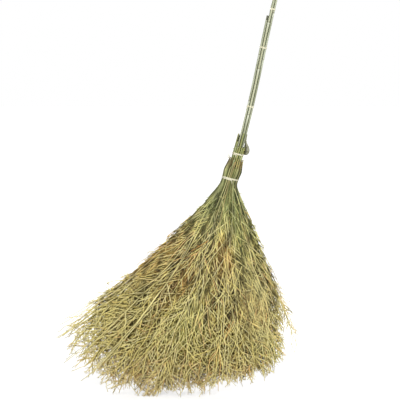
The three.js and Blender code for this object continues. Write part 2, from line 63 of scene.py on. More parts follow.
# How far from the neck the twigs reach: the turn from the middle as a share of FAN_ANGLE, minus towards +X,
# and the reach as a share of the neck's height
REACH_SHARES = [
    (-1.25, 0.40), (-1.10, 0.62), (-1.00, 0.74), (-0.90, 0.90), (-0.75, 0.96), (-0.50, 0.99),
    (-0.25, 1.03), (0.00, 1.09), (0.15, 1.13), (0.35, 1.15), (0.50, 1.19), (0.60, 1.17),
    (0.75, 1.19), (0.85, 1.18), (0.95, 1.17), (1.05, 1.13), (1.20, 0.70),
]
FLOOR_GAP = 1 * MM  # between the floor and the lowest twig tip
SOFT_SHARE = 0.8  # of the way out that a strand is allowed, from where on it is bent back in

# The tufts into which the tips gather, across the fan
TUFTS = 17
TUFT_STRAYS = [(0.19, 3.1, 0.4), (0.11, 7.3, 2.2)]  # waves that shift them: size, rate and start
TUFT_NOTCH = 0.034  # half of how much shorter the twigs gathered in a tuft are than those between
TUFT_PULL = 0.6  # how strongly the twigs are drawn to them
TUFT_START = 450 * MM  # below the neck
TUFT_LENGTH = 450 * MM  # from there until the pull is full
TUFT_ROWS = 1.6  # rows of tufts, one behind the other, for half of the fan's thickness
TUFT_ROW_TURN = 0.7  # from one row to the next

CULM_NODES = [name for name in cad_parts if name.startswith("culm_")]
STEM_NODES = [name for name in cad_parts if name.startswith("branch_stem_")]
SPRAY_NODES = ["twig_spray_right", "twig_spray_back", "twig_spray_left", "twig_spray_front"]
RIGHT_SPRAY = 0  # their places in that list
LEFT_SPRAY = 2


def unit(vectors):
    return vectors / np.linalg.norm(vectors, axis=-1, keepdims=True)


def smooth(share):
    share = np.clip(share, 0, 1)
    return share * share * (3 - 2 * share)


def linear(colour):
    """A colour written as 0xRRGGBB, as the linear numbers that shaders take."""
    parts = np.array([colour >> 16, colour >> 8 & 255, colour & 255]) / 255
    return np.where(parts <= 0.04045, parts / 12.92, ((parts + 0.055) / 1.055) ** 2.4)


# Reading the solid model

def edges_of(name):
    """The corners of a node, and the pairs of them that its edges join."""
    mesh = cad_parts[name].data
    corners = np.empty(len(mesh.vertices) * 3, np.float32)
    mesh.vertices.foreach_get("co", corners)
    pairs = np.empty(len(mesh.edges) * 2, np.int32)
    mesh.edges.foreach_get("vertices", pairs)
    return corners.reshape(-1, 3).astype(float), pairs.reshape(-1, 2)


def crossings(corners, pairs, heights, level):
    """Where the edges cross a level, with each corner's height given."""
    low, high = heights[pairs].T
    cut = (low - level) * (high - level) < 0
    share = (level - low[cut]) / (high[cut] - low[cut])
    start, end = corners[pairs[cut, 0]], corners[pairs[cut, 1]]
    return start + share[:, None] * (end - start)


def middle_of(places):
    return (places.min(0) + places.max(0)) / 2


corners, pairs = edges_of("culm_middle")
NECK = middle_of(crossings(corners, pairs, corners[:, 2], NECK_HEIGHT))


def broom_frame(places):
    """Places as how far across, how deep and how high up the handle they lie from the neck."""
    apart = places - NECK
    return np.stack([apart @ SIDE, apart @ BACK, apart @ UP], -1)


def row_frame(places):
    """The other way round."""
    return NECK + places[..., :1] * SIDE + places[..., 1:2] * BACK + places[..., 2:] * UP


class Rod:
    """The middle line and thickness of a long solid, read off at even heights along the handle."""

    STEP = 4 * MM
    CALM_STEPS = 9  # over which a knot is left out of the thickness
    LEAST_SWELLING = 0.1 * MM  # that counts as a knot
    APART_STEPS = 3  # further than this between two swollen heights, they belong to two knots

    def __init__(self, name):
        corners, pairs = edges_of(name)
        corners = broom_frame(corners)
        heights = corners[:, 2]
        self.low, self.high = heights.min(), heights.max()
        count = int((self.high - self.low) / self.STEP)
        self.heights = np.linspace(self.low, self.high, count + 2)[1:-1]
        middles, radii = [], []
        for level in self.heights:
            places = crossings(corners, pairs, heights, level)
            middles.append(middle_of(places)[:2])
            radii.append(np.ptp(places[:, :2], axis=0).min() / 2)
        self.middles, self.radii = np.array(middles), np.array(radii)

    def at(self, heights):
        """Middles in the broom's frame."""
        ends = [np.interp(heights, self.heights, self.middles[:, k]) for k in range(2)]
        return np.stack([*ends, heights], -1)

    def radius(self, heights):
        """Thickness without the knots."""
        padded = np.pad(self.radii, self.CALM_STEPS // 2, mode="edge")
        calm = np.median(np.lib.stride_tricks.sliding_window_view(padded, self.CALM_STEPS), axis=1)
        return np.interp(heights, self.heights, calm)

    def knots(self):
        """Heights of the swollen rings between two lengths of the bamboo."""
        proud = self.heights[self.radii - self.radius(self.heights) > self.LEAST_SWELLING]
        breaks = np.flatnonzero(np.diff(proud) > self.APART_STEPS * self.STEP) + 1
        return [group.mean() for group in np.split(proud, breaks) if len(group)]


CULMS = {name: Rod(name) for name in CULM_NODES}
STEMS = {name: Rod(name) for name in STEM_NODES}
AXIS = CULMS["culm_middle"]


# Building meshes

def piece(name, corners, quads, ends, node_names, materials, attributes):
    """A mesh that stands for nodes of the solid model: four-sided walls in the first material, and many-sided
    ends in the last."""
    mesh = bpy.data.meshes.new(name)
    mesh.vertices.add(len(corners))
    mesh.vertices.foreach_set("co", corners.astype(np.float32).ravel())
    sizes = np.concatenate([np.full(len(quads), 4)] + [np.full(len(end), end.shape[1]) for end in ends])
    loops = np.concatenate([quads.ravel()] + [end.ravel() for end in ends])
    mesh.loops.add(len(loops))
    mesh.loops.foreach_set("vertex_index", loops.astype(np.int32))
    mesh.polygons.add(len(sizes))
    mesh.polygons.foreach_set("loop_start", (np.cumsum(sizes) - sizes).astype(np.int32))
    is_wall = np.arange(len(sizes)) < len(quads)
    mesh.polygons.foreach_set("use_smooth", is_wall)
    mesh.polygons.foreach_set("material_index", np.where(is_wall, 0, len(materials) - 1).astype(np.int32))
    for label, (kind, key, values) in attributes.items():
        made = mesh.attributes.new(label, kind, "POINT")
        made.data.foreach_set(key, values.astype(np.float32).ravel())
    mesh.update(calc_edges=True)
    mesh.validate()
    made = bpy.data.objects.new(name, mesh)
    bpy.context.scene.collection.objects.link(made)
    for material in materials:
        mesh.materials.append(material)
    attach(made, "root")
    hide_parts(*node_names)
    return made


def directions(lines):
    return unit(np.gradient(lines, axis=1))


def step_lengths(lines):
    return np.linalg.norm(np.diff(lines, axis=-2), axis=-1)


def run_along(lines):
    """How far along its line each point lies."""
    lengths = step_lengths(lines)
    return np.concatenate([np.zeros((*lengths.shape[:-1], 1)), np.cumsum(lengths, axis=-1)], axis=-1)


def round_grain(angles, run, shift):
    """The grain's coordinates: round each section, and along the line by run."""
    run = np.broadcast_to(run[..., None], angles.shape)
    return np.stack([np.cos(angles), np.sin(angles), run], -1) + shift


SECTION_GUIDE = unit(np.array([0.31, 0.9, 0.3]))  # the sides are counted from square to this and the line


def rings(lines, radii, sides, along, turns=0):
    """Round sections of many lines at once: corners as (line, ring, side, 3), and the angle of each."""
    one = unit(np.cross(along, SECTION_GUIDE))
    other = np.cross(along, one)
    angles = np.arange(sides) * 2 * np.pi / sides + np.reshape(turns, (-1, 1, 1))
    spokes = np.cos(angles)[..., None] * one[:, :, None] + np.sin(angles)[..., None] * other[:, :, None]
    return lines[:, :, None] + radii[..., None, None] * spokes, np.broadcast_to(angles, spokes.shape[:3])


def walls(count, steps, sides):
    """The corner numbers of every wall and every end of the rings."""
    number = np.arange(count * steps * sides).reshape(count, steps, sides)
    near, far = number[:, :-1], number[:, 1:]
    turned = [np.roll(part, -1, axis=2) for part in (near, far)]
    quads = np.stack([near, far, turned[1], turned[0]], -1).reshape(-1, 4)
    return quads, [number[:, 0], number[:, -1, ::-1]]


# Materials

WHITE = (1, 1, 1, 1)
TWIG_SPOTS = 0x5E5228
SKIN_SPOTS = 0x4F4A2A
KNOT_LINE = 0x4A3F22
# Painted shade on the bamboo skin where it faces the rest of the bundle, and how strong it is at most
BUNDLE_SHADE = 0x35351C
BUNDLE_SHADE_SHARE = 0.85


class Nodes:
    """A short way to write the nodes of a material or of the world."""

    def __init__(self, owner):
        owner.use_nodes = True
        self.owner, self.tree = owner, owner.node_tree
        self.shader = self.tree.nodes.get("Principled BSDF")

    def add(self, kind, inputs=None, **settings):
        node = self.tree.nodes.new(kind)
        for key, value in settings.items():
            setattr(node, key, value)
        for key, value in (inputs or {}).items():
            self.put(node.inputs[key], value)
        return node

    def put(self, socket, value):
        if isinstance(value, bpy.types.NodeSocket):
            self.tree.links.new(value, socket)
        else:
            socket.default_value = value

    def attribute(self, name, output):
        return self.add("ShaderNodeAttribute", attribute_name=name).outputs[output]

    def grained(self, scale, detail=2):
        """Noise along the grain. scale says how fine it is round the strand, twice, and along it."""
        grain = self.add("ShaderNodeMapping", {"Vector": self.attribute("grain", "Vector"), "Scale": scale})
        settings = {"Vector": grain.outputs["Vector"], "Scale": 1.0, "Detail": detail, "Roughness": 0.5}
        return self.add("ShaderNodeTexNoise", settings).outputs["Fac"]

    def ramp(self, value, stops, smoothed=False):
        """stops is [(place, grey as a decimal number or colour as a whole one)]."""
        node = self.add("ShaderNodeValToRGB", {"Fac": value})
        band = node.color_ramp
        band.interpolation = "EASE" if smoothed else "LINEAR"
        while len(band.elements) < len(stops):
            band.elements.new(0.5)
        for element, (place, colour) in zip(band.elements, stops):
            element.position = place
            shade = linear(colour) if isinstance(colour, int) else [colour] * 3
            element.color = [*shade, 1]
        return node.outputs["Color"]

    def mix(self, share, one, other, blend="MIX"):
        node = self.add("ShaderNodeMix", {0: share}, data_type="RGBA", blend_type=blend)
        for socket, value in ((node.inputs[6], one), (node.inputs[7], other)):
            self.put(socket, [*linear(value), 1] if isinstance(value, int) else value)
        return node.outputs[2]

    def maths(self, operation, one, other):
        return self.add("ShaderNodeMath", {0: one, 1: other}, operation=operation).outputs[0]

    def seen(self):
        """1 for what the camera sees, also in something glossy, and 0 for what lights the broom."""
        path = self.add("ShaderNodeLightPath")
        return self.maths("MAXIMUM", path.outputs["Is Camera Ray"], path.outputs["Is Glossy Ray"])

    def surface(self, colour, roughness, relief, strength, distance):
        """The finished material, with a bump by relief."""
        bump = self.add("ShaderNodeBump", {"Height": relief, "Strength": strength, "Distance": distance})
        self.put(self.shader.inputs["Base Color"], colour)
        self.put(self.shader.inputs["Roughness"], roughness)
        self.put(self.shader.inputs["Normal"], bump.outputs["Normal"])
        return self.owner


def twig_material():
    """Dry twig bark: its colour, with painted shade where strands lie inside the head, is painted on each
    strand, with streaks and spots along it.
    """
    n = Nodes(bpy.data.materials.new("twig_bark"))
    streaks = n.grained((0.8, 0.8, 22), 3)
    spots = n.grained((2, 2, 90))
    shades = n.ramp(streaks, [(0.3, 0.8), (0.6, 1.0)])
    colour = n.mix(1.0, n.attribute("bark", "Color"), shades, "MULTIPLY")
    colour = n.mix(n.ramp(spots, [(0.64, 0.0), (0.76, 0.4)]), colour, TWIG_SPOTS)
    n.shader.inputs["Specular IOR Level"].default_value = 0.4
    return n.surface(colour, n.ramp(streaks, [(0.3, 0.62), (0.7, 0.46)]), spots, 0.35, 0.4 * MM)


def bamboo_material(name, pale, deep, straw, bloom):
    """Bamboo skin: long fibres, blotches, a pale bloom below each knot with a dark line on it, and painted
    shade where it faces the rest of the bundle."""
    n = Nodes(bpy.data.materials.new(name))
    knot = n.attribute("knot", "Fac")
    blotches = n.grained((0.5, 0.5, 7), 3)
    fibres = n.grained((7, 7, 3))
    streaks = n.grained((1.6, 1.6, 2.5), 3)
    spots = n.grained((2.6, 2.6, 60))
    colour = n.mix(n.ramp(blotches, [(0.35, 0.0), (0.65, 1.0)]), deep, pale)
    colour = n.mix(n.ramp(streaks, [(0.5, 0.0), (0.62, 0.7)]), colour, straw)
    colour = n.mix(n.ramp(knot, [(0.03, 0.0), (0.1, 0.7), (0.4, 0.25), (0.9, 0.0)]), colour, bloom)
    colour = n.mix(n.ramp(knot, [(0.012, 0.8), (0.045, 0.0)]), colour, KNOT_LINE)
    colour = n.mix(1.0, colour, n.ramp(fibres, [(0.3, 0.88), (0.6, 1.0)]), "MULTIPLY")
    colour = n.mix(n.ramp(spots, [(0.68, 0.0), (0.74, 0.6)]), colour, SKIN_SPOTS)
    # Painted shade between the culms and stems, where the skin faces into the bundle
    colour = n.mix(n.maths("MULTIPLY", n.attribute("bundle_shade", "Fac"), BUNDLE_SHADE_SHARE), colour, BUNDLE_SHADE)
    return n.surface(colour, n.ramp(blotches, [(0.3, 0.38), (0.7, 0.55)]), fibres, 0.3, 0.3 * MM)


def cut_material():
    """The pale end grain of cut bamboo, with darker pores."""
    n = Nodes(bpy.data.materials.new("cut_bamboo"))
    pores = n.grained((14, 14, 200))
    return n.surface(n.ramp(pores, [(0.35, 0x8C7A4A), (0.6, 0xD8CB98)]), 0.8, pores, 0.4, 0.3 * MM)


def tie_material():
    """Split bamboo: cream, with straight fibres along the strip."""
    n = Nodes(bpy.data.materials.new("split_bamboo"))
    fibres = n.grained((6, 6, 8), 3)
    stains = n.grained((1, 1, 30))
    colour = n.ramp(fibres, [(0.3, 0xE0D8AC), (0.5, 0xF2EDD0), (0.75, 0xF6F3E0)])
    colour = n.mix(n.ramp(stains, [(0.5, 0.0), (0.75, 0.5)]), colour, 0xE4DCAC)
    return n.surface(colour, n.ramp(fibres, [(0.3, 0.6), (0.7, 0.4)]), fibres, 0.5, 0.3 * MM)


TWIG = twig_material()
CULM = bamboo_material("culm_skin", 0xC6CBAE, 0x8E9474, 0xBEBA92, 0xDCE0CA)
STUB = bamboo_material("stub_skin", 0x9C9C80, 0x70705A, 0x8E8664, 0xA4A48C)
STEM = bamboo_material("stem_skin", 0xA9B56C, 0x74804A, 0xB9AC62, 0xC9D09E)
CUT = cut_material()
TIE = tie_material()


# Culms and stems

# The rings at a knot: how far above it in mm, and the share of the knot's size that they swell
KNOT_SHAPE = [
    (-9, 0.05), (-5, 0.22), (-2.6, 0.5), (-1.2, 0.42), (-0.4, 0.12), (0.5, 0.62), (1.3, 0.3), (5, 0),
]
KNOT_CLEARANCE = 10 * MM  # between a knot and the nearest plain ring
AT_KNOT = 1 * MM  # how far above a knot still counts as at it
BLOOM_LENGTH = 60 * MM
LONGEST_STEP = 26 * MM  # between two rings
END_CLEARANCE = 2 * MM  # between a knot's rings and the cut end
LIP = 0.4 * MM  # the blunt edge of a cut end
BORE_DEPTH = 24 * MM
BORE_TAPER = 0.92  # the width of its floor against its mouth
UNEVENNESS = 0.04 * MM
GRAIN_SHIFTS = (0, 50)  # so that no two pieces have the same streaks
# Skin that faces further into the bundle than this gets painted shade
OPEN_FACING = 0.5  # the cosine from which the skin counts as facing out of the bundle
ROD_SEED = 5
CULM_FORM = {"sides": 18, "knot_size": 0.5 * MM, "hollow": 0.5, "material": CULM, "slot": "culm"}
STEM_FORM = {"sides": 12, "knot_size": 0.4 * MM, "hollow": 0, "material": STEM, "slot": "stem"}


def bound_circles(rods, height):
    """Across, deep and radius of each rod that reaches above a height."""
    return [(*rod.at(np.array([height]))[0, :2], rod.radius(height)) for rod in rods if rod.high > height]


def below_knots(heights, knots):
    """How far each height lies below the next knot, or a metre where there is none."""
    above = [[knot - height for knot in knots if knot > height - AT_KNOT] for height in heights]
    return np.abs([min(apart, default=1) for apart in above])


def rod_profile(rod, knot_size, hollow):
    """Heights and radii of a rod's rings, from its thin tip to its cut butt and down into its hollow, and how
    far below a knot they lie. hollow is the hollow's share of the butt."""
    knots = rod.knots()
    offsets, sizes = np.array(KNOT_SHAPE).T
    around = [knot + offset * MM for knot in knots for offset in offsets]
    around = [height for height in around if rod.low < height < rod.high - END_CLEARANCE]
    plain = np.arange(rod.low, rod.high, LONGEST_STEP)
    plain = [height for height in plain if all(abs(height - knot) > KNOT_CLEARANCE for knot in knots)]
    heights = np.array(sorted([*plain, *around]))
    radii = rod.radius(heights)
    for knot in knots:
        radii = radii + knot_size * np.interp(heights - knot, offsets * MM, sizes, left=0, right=0)
    butt = rod.radius(rod.high)
    end = [(rod.high - LIP, butt), (rod.high, butt - LIP)]
    if hollow:
        bore = butt * hollow
        end += [(rod.high, bore + LIP), (rod.high - LIP, bore), (rod.high - BORE_DEPTH, bore * BORE_TAPER)]
    end_heights, end_radii = np.array(end).T
    down = np.concatenate([below_knots(heights, knots), np.ones(len(end))])
    return np.concatenate([heights, end_heights]), np.concatenate([radii, end_radii]), down


def make_rod(name, rod, rng, sides, knot_size, hollow, material, slot):
    """One culm or stem, with its knots, its bends and its cut end."""
    heights, radii, down = rod_profile(rod, knot_size, hollow)
    line = row_frame(rod.at(heights))
    along = unit(row_frame(rod.at(heights + 1 * MM)) - line)
    bamboo_piece(name + "_fine", [name], line, along, radii, heights, down, sides, material, rng)


def bamboo_piece(name, nodes, line, along, radii, heights, down, sides, material, rng):
    """Bamboo with round sections along a line. down is how far below a knot each of them is."""
    ring, angles = rings(line[None], radii[None], sides, along[None], rng.uniform(0, 2 * np.pi, 1))
    ring = ring + rng.normal(0, UNEVENNESS, ring.shape)
    quads, ends = walls(1, len(heights), sides)
    shift = rng.uniform(*GRAIN_SHIFTS, 3)
    knot = np.broadcast_to((down / BLOOM_LENGTH).clip(0, 1)[None, :, None], angles.shape)
    attributes = {
        "grain": ("FLOAT_VECTOR", "vector", round_grain(angles, heights[None], shift)),
        "knot": ("FLOAT", "value", knot),
        # Painted shade where the skin faces into the bundle
        "bundle_shade": ("FLOAT", "value", bundle_shade_of(ring[0], line, heights)),
    }
    piece(name, ring.reshape(-1, 3), quads, ends, nodes, [material, CUT], attributes)


def bundle_shade_of(ring, line, heights):
    """How far each corner of a rod faces into its bundle and not out of it, from 0 to 1: the strength of the
    painted shade there.
    """
    out = line - row_frame(AXIS.at(heights))
    out = out / np.maximum(np.linalg.norm(out, axis=1, keepdims=True), 1 * MM)
    spokes = ring - line[:, None]
    facing = (spokes * out[:, None]).sum(-1) / np.maximum(np.linalg.norm(spokes, axis=-1), 0.1 * MM)
    return smooth((OPEN_FACING - facing) / OPEN_FACING)


# A short thick butt that hangs against the stems above the neck tie: heights above the neck and radii, in mm
STUB_SHAPE = [
    (127, 2), (128.5, 5), (131, 8), (134, 10), (138, 11.3), (143, 11.7), (146, 11.5), (150, 10.8), (156, 9.4),
    (159, 9), (162, 8.2), (169, 6.6), (178, 5), (188, 3.8), (200, 3), (214, 2.6),
]
STUB_KNOTS = np.array([162, 143]) * MM
STUB_GUIDES = np.array([130, 156, 184, 214]) * MM  # heights where it follows the bundle's side
STUB_OVERLAP = 2 * MM
STUB_FORWARD = 5 * MM
STUB_SIDES = 18


def make_stub(rng):
    heights, radii = np.array(STUB_SHAPE).T * MM
    edges = []
    for height in STUB_GUIDES:
        x, _, radius = np.array(bound_circles([*CULMS.values(), *STEMS.values()], height)).T
        edges.append((x - radius).min())
    across = np.interp(heights, STUB_GUIDES, edges) - radii + STUB_OVERLAP
    line = row_frame(np.column_stack([across, np.full(len(heights), -STUB_FORWARD), heights]))
    along = unit(np.gradient(line, axis=0))
    down = below_knots(heights, STUB_KNOTS)
    bamboo_piece("culm_stub", [], line, along, radii, heights, down, STUB_SIDES, STUB, rng)


def make_rods():
    rng = np.random.default_rng(ROD_SEED)
    for name, rod in CULMS.items():
        make_rod(name, rod, rng, **CULM_FORM)
    for name, rod in STEMS.items():
        make_rod(name, rod, rng, **STEM_FORM)
    make_stub(rng)


# Ties: a flat strip wound round the bundle, with its ends turned off along it

TIE_WIDTH = 2.9 * MM
TIE_THICKNESS = 1.0 * MM
# The corners of its section, as shares of the width and the thickness
TIE_CORNERS = np.array([
    [-0.5, -0.3], [-0.36, -0.5], [0.36, -0.5], [0.5, -0.3],
    [0.5, 0.3], [0.36, 0.5], [-0.36, 0.5], [-0.5, 0.3],
])
TIE_PITCH = 3.5 * MM
TIE_TURNS = 2.3
TIE_LIFT = 0.35 * MM  # off the bundle
TIE_POINTS = 260
TIE_LEAST_STEP = 0.25 * MM  # between two points
TAIL_BEND = 4 * MM  # the radius on which an end turns off
TAIL_ANGLE = math.radians(78)
TAIL_LIFT = 1.6 * MM  # off the bundle over the bend
TAIL_LENGTH = 10 * MM
TAIL_CURLS = (0.1, 0.35)  # away from the bundle, as shares of its length
BEND_STEPS = 6
TAIL_STEPS = 5
POINT_STEPS = 9  # over which each end narrows
POINT_SHARE = 0.35  # of the width at the very end
TIE_SEED = 8
# Where each one starts round the bundle, in degrees
TIE_STARTS = {"tie_top": 282, "tie_upper": 130, "tie_middle": 330, "tie_neck": 285, "tie_head": 262}


def taut(circles, angles, lift):
    """Where a line pulled tight round circles lies, by the direction that it faces there."""
    away = np.stack([np.cos(angles), np.sin(angles)], -1)
    places = np.array([circle[:2] for circle in circles])
    radii = np.array([circle[2] for circle in circles]) + lift
    outermost = np.argmax(away @ places.T + radii, axis=1)
    return places[outermost] + radii[outermost, None] * away, away


def wound(circles, height, start):
    """The middle line of a strip round circles, and the way out of the bundle at each point."""
    turned = np.linspace(0, TIE_TURNS, TIE_POINTS)
    flat, away = taut(circles, start + turned * 2 * np.pi, TIE_LIFT + TIE_THICKNESS / 2)
    line = np.column_stack([flat, height + (turned - TIE_TURNS / 2) * TIE_PITCH])
    out = np.column_stack([away, np.zeros(TIE_POINTS)])
    keep = np.concatenate([[True], step_lengths(line) > TIE_LEAST_STEP])
    return line[keep], out[keep]


def with_tail(line, out, rise, rng):
    """The strip with its last end turned off along the handle, up or down by rise."""
    heading, normal = unit(line[-1] - line[-3]), out[-1]
    share = np.linspace(0, 1, BEND_STEPS + 1)[1:, None]
    bend = share * TAIL_ANGLE
    arc = line[-1] + TAIL_BEND * (np.sin(bend) * heading + (1 - np.cos(bend)) * np.array([0, 0, rise]))
    arc = arc + share * TAIL_LIFT * normal
    share = np.linspace(0, 1, TAIL_STEPS + 1)[1:, None]
    curl = share * rng.uniform(*TAIL_CURLS) * normal
    tail = arc[-1] + share * TAIL_LENGTH * (unit(arc[-1] - arc[-2]) + curl)
    out = np.vstack([out, np.repeat(normal[None], len(arc) + len(tail), 0)])
    return np.vstack([line, arc, tail]), out


def make_tie(name, bundle, rng):
    """A strip swept along its line. bundle gives the circles that it holds at a height."""
    low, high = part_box(name)
    height = broom_frame(np.array((low + high) / 2))[2]
    line, out = wound(bundle(height), height, math.radians(TIE_STARTS[name]))
    for rise in (-1.0, 1.0):
        line, out = with_tail(line[::-1], out[::-1], rise, rng)
    along = unit(np.gradient(line, axis=0))
    across = unit(np.cross(along, out))
    out = np.cross(across, along)
    last = len(line) - 1
    places = [0, POINT_STEPS, last - POINT_STEPS, last]
    taper = np.interp(np.arange(len(line)), places, [POINT_SHARE, 1, 1, POINT_SHARE])
    section = TIE_CORNERS[None, :, :1] * TIE_WIDTH * taper[:, None, None] * across[:, None]
    section = section + TIE_CORNERS[None, :, 1:] * TIE_THICKNESS * out[:, None]
    corners = row_frame(line[:, None] + section)
    quads, ends = walls(1, len(line), len(TIE_CORNERS))
    grain = np.empty(corners.shape)
    grain[..., :2] = TIE_CORNERS * 2
    grain[..., 2] = run_along(line)[:, None]
    attributes = {"grain": ("FLOAT_VECTOR", "vector", grain + rng.uniform(*GRAIN_SHIFTS, 3))}
    piece(name + "_strip", corners.reshape(-1, 3), quads, ends, [name], [TIE], attributes)


# The head: branches, limbs, twigs and tips, each grown from the one before

HEAD_TIE_THICKNESS = 2.2 * MM  # outside the head, with its clearances
HEAD_RADIUS = (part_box("tie_head")[1].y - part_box("tie_head")[0].y) / 2 - HEAD_TIE_THICKNESS


def opened(down):
    """How far the fan has opened, in lengths below the neck that count towards its spread."""
    beginning = np.maximum(down, 0) ** 2 / (2 * OPENING_LENGTH)
    return np.where(down < OPENING_LENGTH, beginning, down - OPENING_LENGTH / 2)


def half_width(across, down):
    """The fan's half width on the side of a place."""
    short = SHORT_SIDE_SPREAD * opened(down)
    long = LONG_SIDE_SPREAD * opened(down) + LONG_SIDE_FLARE * np.maximum(down, 0) ** 2
    return HEAD_RADIUS + np.where(across > 0, long, short)


def half_depth(down):
    return HEAD_RADIUS + math.tan(FAN_DEPTH_ANGLE) * opened(down)


def in_fan(u, v, down, beside=0.0):
    """Places at shares of the fan's half width and depth, some way below the neck."""
    below = np.maximum(down, 0)
    flat = np.stack([u * half_width(u, below), v * half_depth(below)], -1) + beside
    return row_frame(np.concatenate([flat, -down[..., None]], -1))


def reach_towards(turn):
    """How far from the neck the twigs reach at an angle from the middle."""
    turns, reaches = np.array(REACH_SHARES).T
    return NECK_HEIGHT * np.interp(turn / FAN_ANGLE, turns, reaches)


def tuft_phase(shares):
    """The turn of the wave of tufts across the fan, which makes some of them wide and some narrow."""
    moved = shares + sum(size * np.sin(waves * shares + start) for size, waves, start in TUFT_STRAYS)
    return np.pi * TUFTS * moved


def tufted(shares, deep, down):
    """Draws the strands together into tufts, more so the lower they are."""
    phase = tuft_phase(shares) + np.round(deep * TUFT_ROWS) * TUFT_ROW_TURN
    pull = TUFT_PULL * smooth((down - TUFT_START) / TUFT_LENGTH)
    return shares - pull * np.sin(phase) / (np.pi * TUFTS)


def held_in(lines, allowance):
    """Bends the strands that would leave the fan, so that they run along inside its edge."""
    places = broom_frame(lines)
    down = np.maximum(-places[..., 2], 0)
    wide, deep = half_width(places[..., 0], down), half_depth(down)
    u, v = places[..., 0] / wide, places[..., 1] / deep
    size = np.hypot(u, v)
    limit = allowance[:, None]
    soft = SOFT_SHARE * limit
    room = limit - soft
    bent = soft + room * np.tanh(np.maximum(size - soft, 0) / room)
    kept = np.where(size > soft, bent, size) / np.maximum(size, 1e-9)
    u, v = u * kept, v * kept
    u = tufted(u, v, down)
    return row_frame(np.stack([u * wide, v * deep, places[..., 2]], -1))


def excess(lines, ragged):
    """How far past its reach or below the floor each point is, as a share. Over 0 is too far."""
    places = broom_frame(lines)
    across, down = places[..., 0], -places[..., 2]
    shares = across / half_width(across, np.maximum(down, 0))
    tuft = 1 - TUFT_NOTCH * (1 + np.cos(tuft_phase(shares)))
    past = np.hypot(across, down) / (reach_towards(np.arctan2(across, down)) * ragged[:, None] * tuft) - 1
    below = (FLOOR_GAP - lines[..., 2]) / NECK_HEIGHT
    return np.maximum(past, below)


def cut_back(lines, ragged):
    """Shortens the strands to end inside the fan's reach."""
    count, steps = lines.shape[:2]
    over = excess(lines, ragged)
    bad = over > 0
    first = np.where(bad.any(1), bad.argmax(1), steps - 1)
    before = np.maximum(first - 1, 0)
    row = np.arange(count)
    low, high = over[row, before], over[row, first]
    part = np.where(bad.any(1), -low / np.where(high - low > 1e-9, high - low, 1), 1).clip(0, 1)
    last = np.where(first == 0, 0, before + part)
    at = np.linspace(0, 1, steps)[None] * last[:, None]
    cell = np.minimum(at.astype(int), steps - 2)
    rest = (at - cell)[..., None]
    near, far = lines[row[:, None], cell], lines[row[:, None], cell + 1]
    return near + (far - near) * rest


class Strands:
    """A generation of strands: lines of points, radii, bark tone and the spray that each belongs to."""

    def __init__(self, lines, radii, tones, spray):
        self.lines, self.radii, self.tones, self.spray = lines, radii, tones, spray

    def only(self, keep):
        return Strands(self.lines[keep], self.radii[keep], self.tones[keep], self.spray[keep])

    def at(self, which, share):
        """Place, direction and radius of the strands named in which, at a share of their length."""
        steps = self.lines.shape[1]
        spot = share * (steps - 1)
        cell = np.minimum(spot.astype(int), steps - 2)
        rest = spot - cell
        near, far = self.lines[which, cell], self.lines[which, cell + 1]
        thick = self.radii[which, cell] * (1 - rest) + self.radii[which, cell + 1] * rest
        return near + (far - near) * rest[:, None], unit(far - near), thick


def joined(first, second, steps):
    """Two generations as one, with the same number of steps."""
    parts = []
    for strands in (first, second):
        picks = np.linspace(0, strands.lines.shape[1] - 1, steps).round().astype(int)
        parts.append((strands.lines[:, picks], strands.radii[:, picks], strands.tones, strands.spray))
    return Strands(*[np.concatenate(values) for values in zip(*parts)])


def tapered(base, tip, steps, power=1.0):
    share = np.linspace(0, 1, steps)[None] ** power
    return base[:, None] * (1 - share) + tip * share


# Branch butts packed in rings round the stems at the neck, the thickest outside. Above the head tie they
# bulge, and then lean in along the stems.
BUTT_RADII = [2.8 * MM, 1.9 * MM, 1.5 * MM]
BUTT_RISES = [(58, 106), (40, 84), (24, 60)]  # above the neck, in mm
BUTT_SPACING = 1.02  # from one to the next, as a share of their width
BUTT_STRAY = 0.2  # as a share of that way
LEAN_HEIGHTS = [14 * MM, 44 * MM, 76 * MM, 110 * MM]
LEANS = [0, 4.5 * MM, -1.5 * MM, -6.5 * MM]  # of the outermost butts
BRANCH_STEPS = 36
BRANCH_STEP_POWER = 1.25  # over 1, the points lie closer at the butt
BRANCH_TIP = 1.3 * MM
BRANCH_TAPER_POWER = 1.5
BRANCH_THICKNESSES = (0.85, 1.02)  # as shares of the room for the butt
BRANCH_RAGGEDNESS = 0.1
SETTLING_LENGTH = 420 * MM  # below the neck, over which a branch comes to its own way through the fan
SWAY = 0.0063  # of a branch at each step, as a share of the fan's half width and depth
SWAY_START_LENGTH = 200 * MM  # below the neck, over which it sets in
# Where a branch ends between the middle of the fan's thickness and its outside, by its ring at the neck
RING_SHARE = 0.67
RING_STRAYS = (0.05, 0.33)
END_RING_SHARES = [0, 0.33, 0.5, 1]
END_SIZE_SHARES = [0, 0.6, 0.86, 1]
END_DEPTH_SHARE = 0.93
# Where it ends across the fan, as shares of its half width, which the borders limit
END_SPREAD_SHARE = 1.02
END_STRAY_SHARE = 0.05
END_LIMIT_SHARES = (-0.97, 0.91)
END_RAGGEDNESS = 0.14
# Towards the borders the ends fill the thickness, which closes the fan between the front and the back
FILL_START_SHARE = 0.55
FILL_WIDTH_SHARE = 0.35
FILL_STEP_SHARE = 0.618  # from one branch to the next, which spreads them evenly through the thickness
# At the borders they also end earlier, so that these are tufted and not fringed
EDGE_START_SHARE = 0.84
EDGE_WIDTH_SHARE = 0.12
EDGE_CUT_SHARE = 0.1  # a branch loses this once, twice or three times


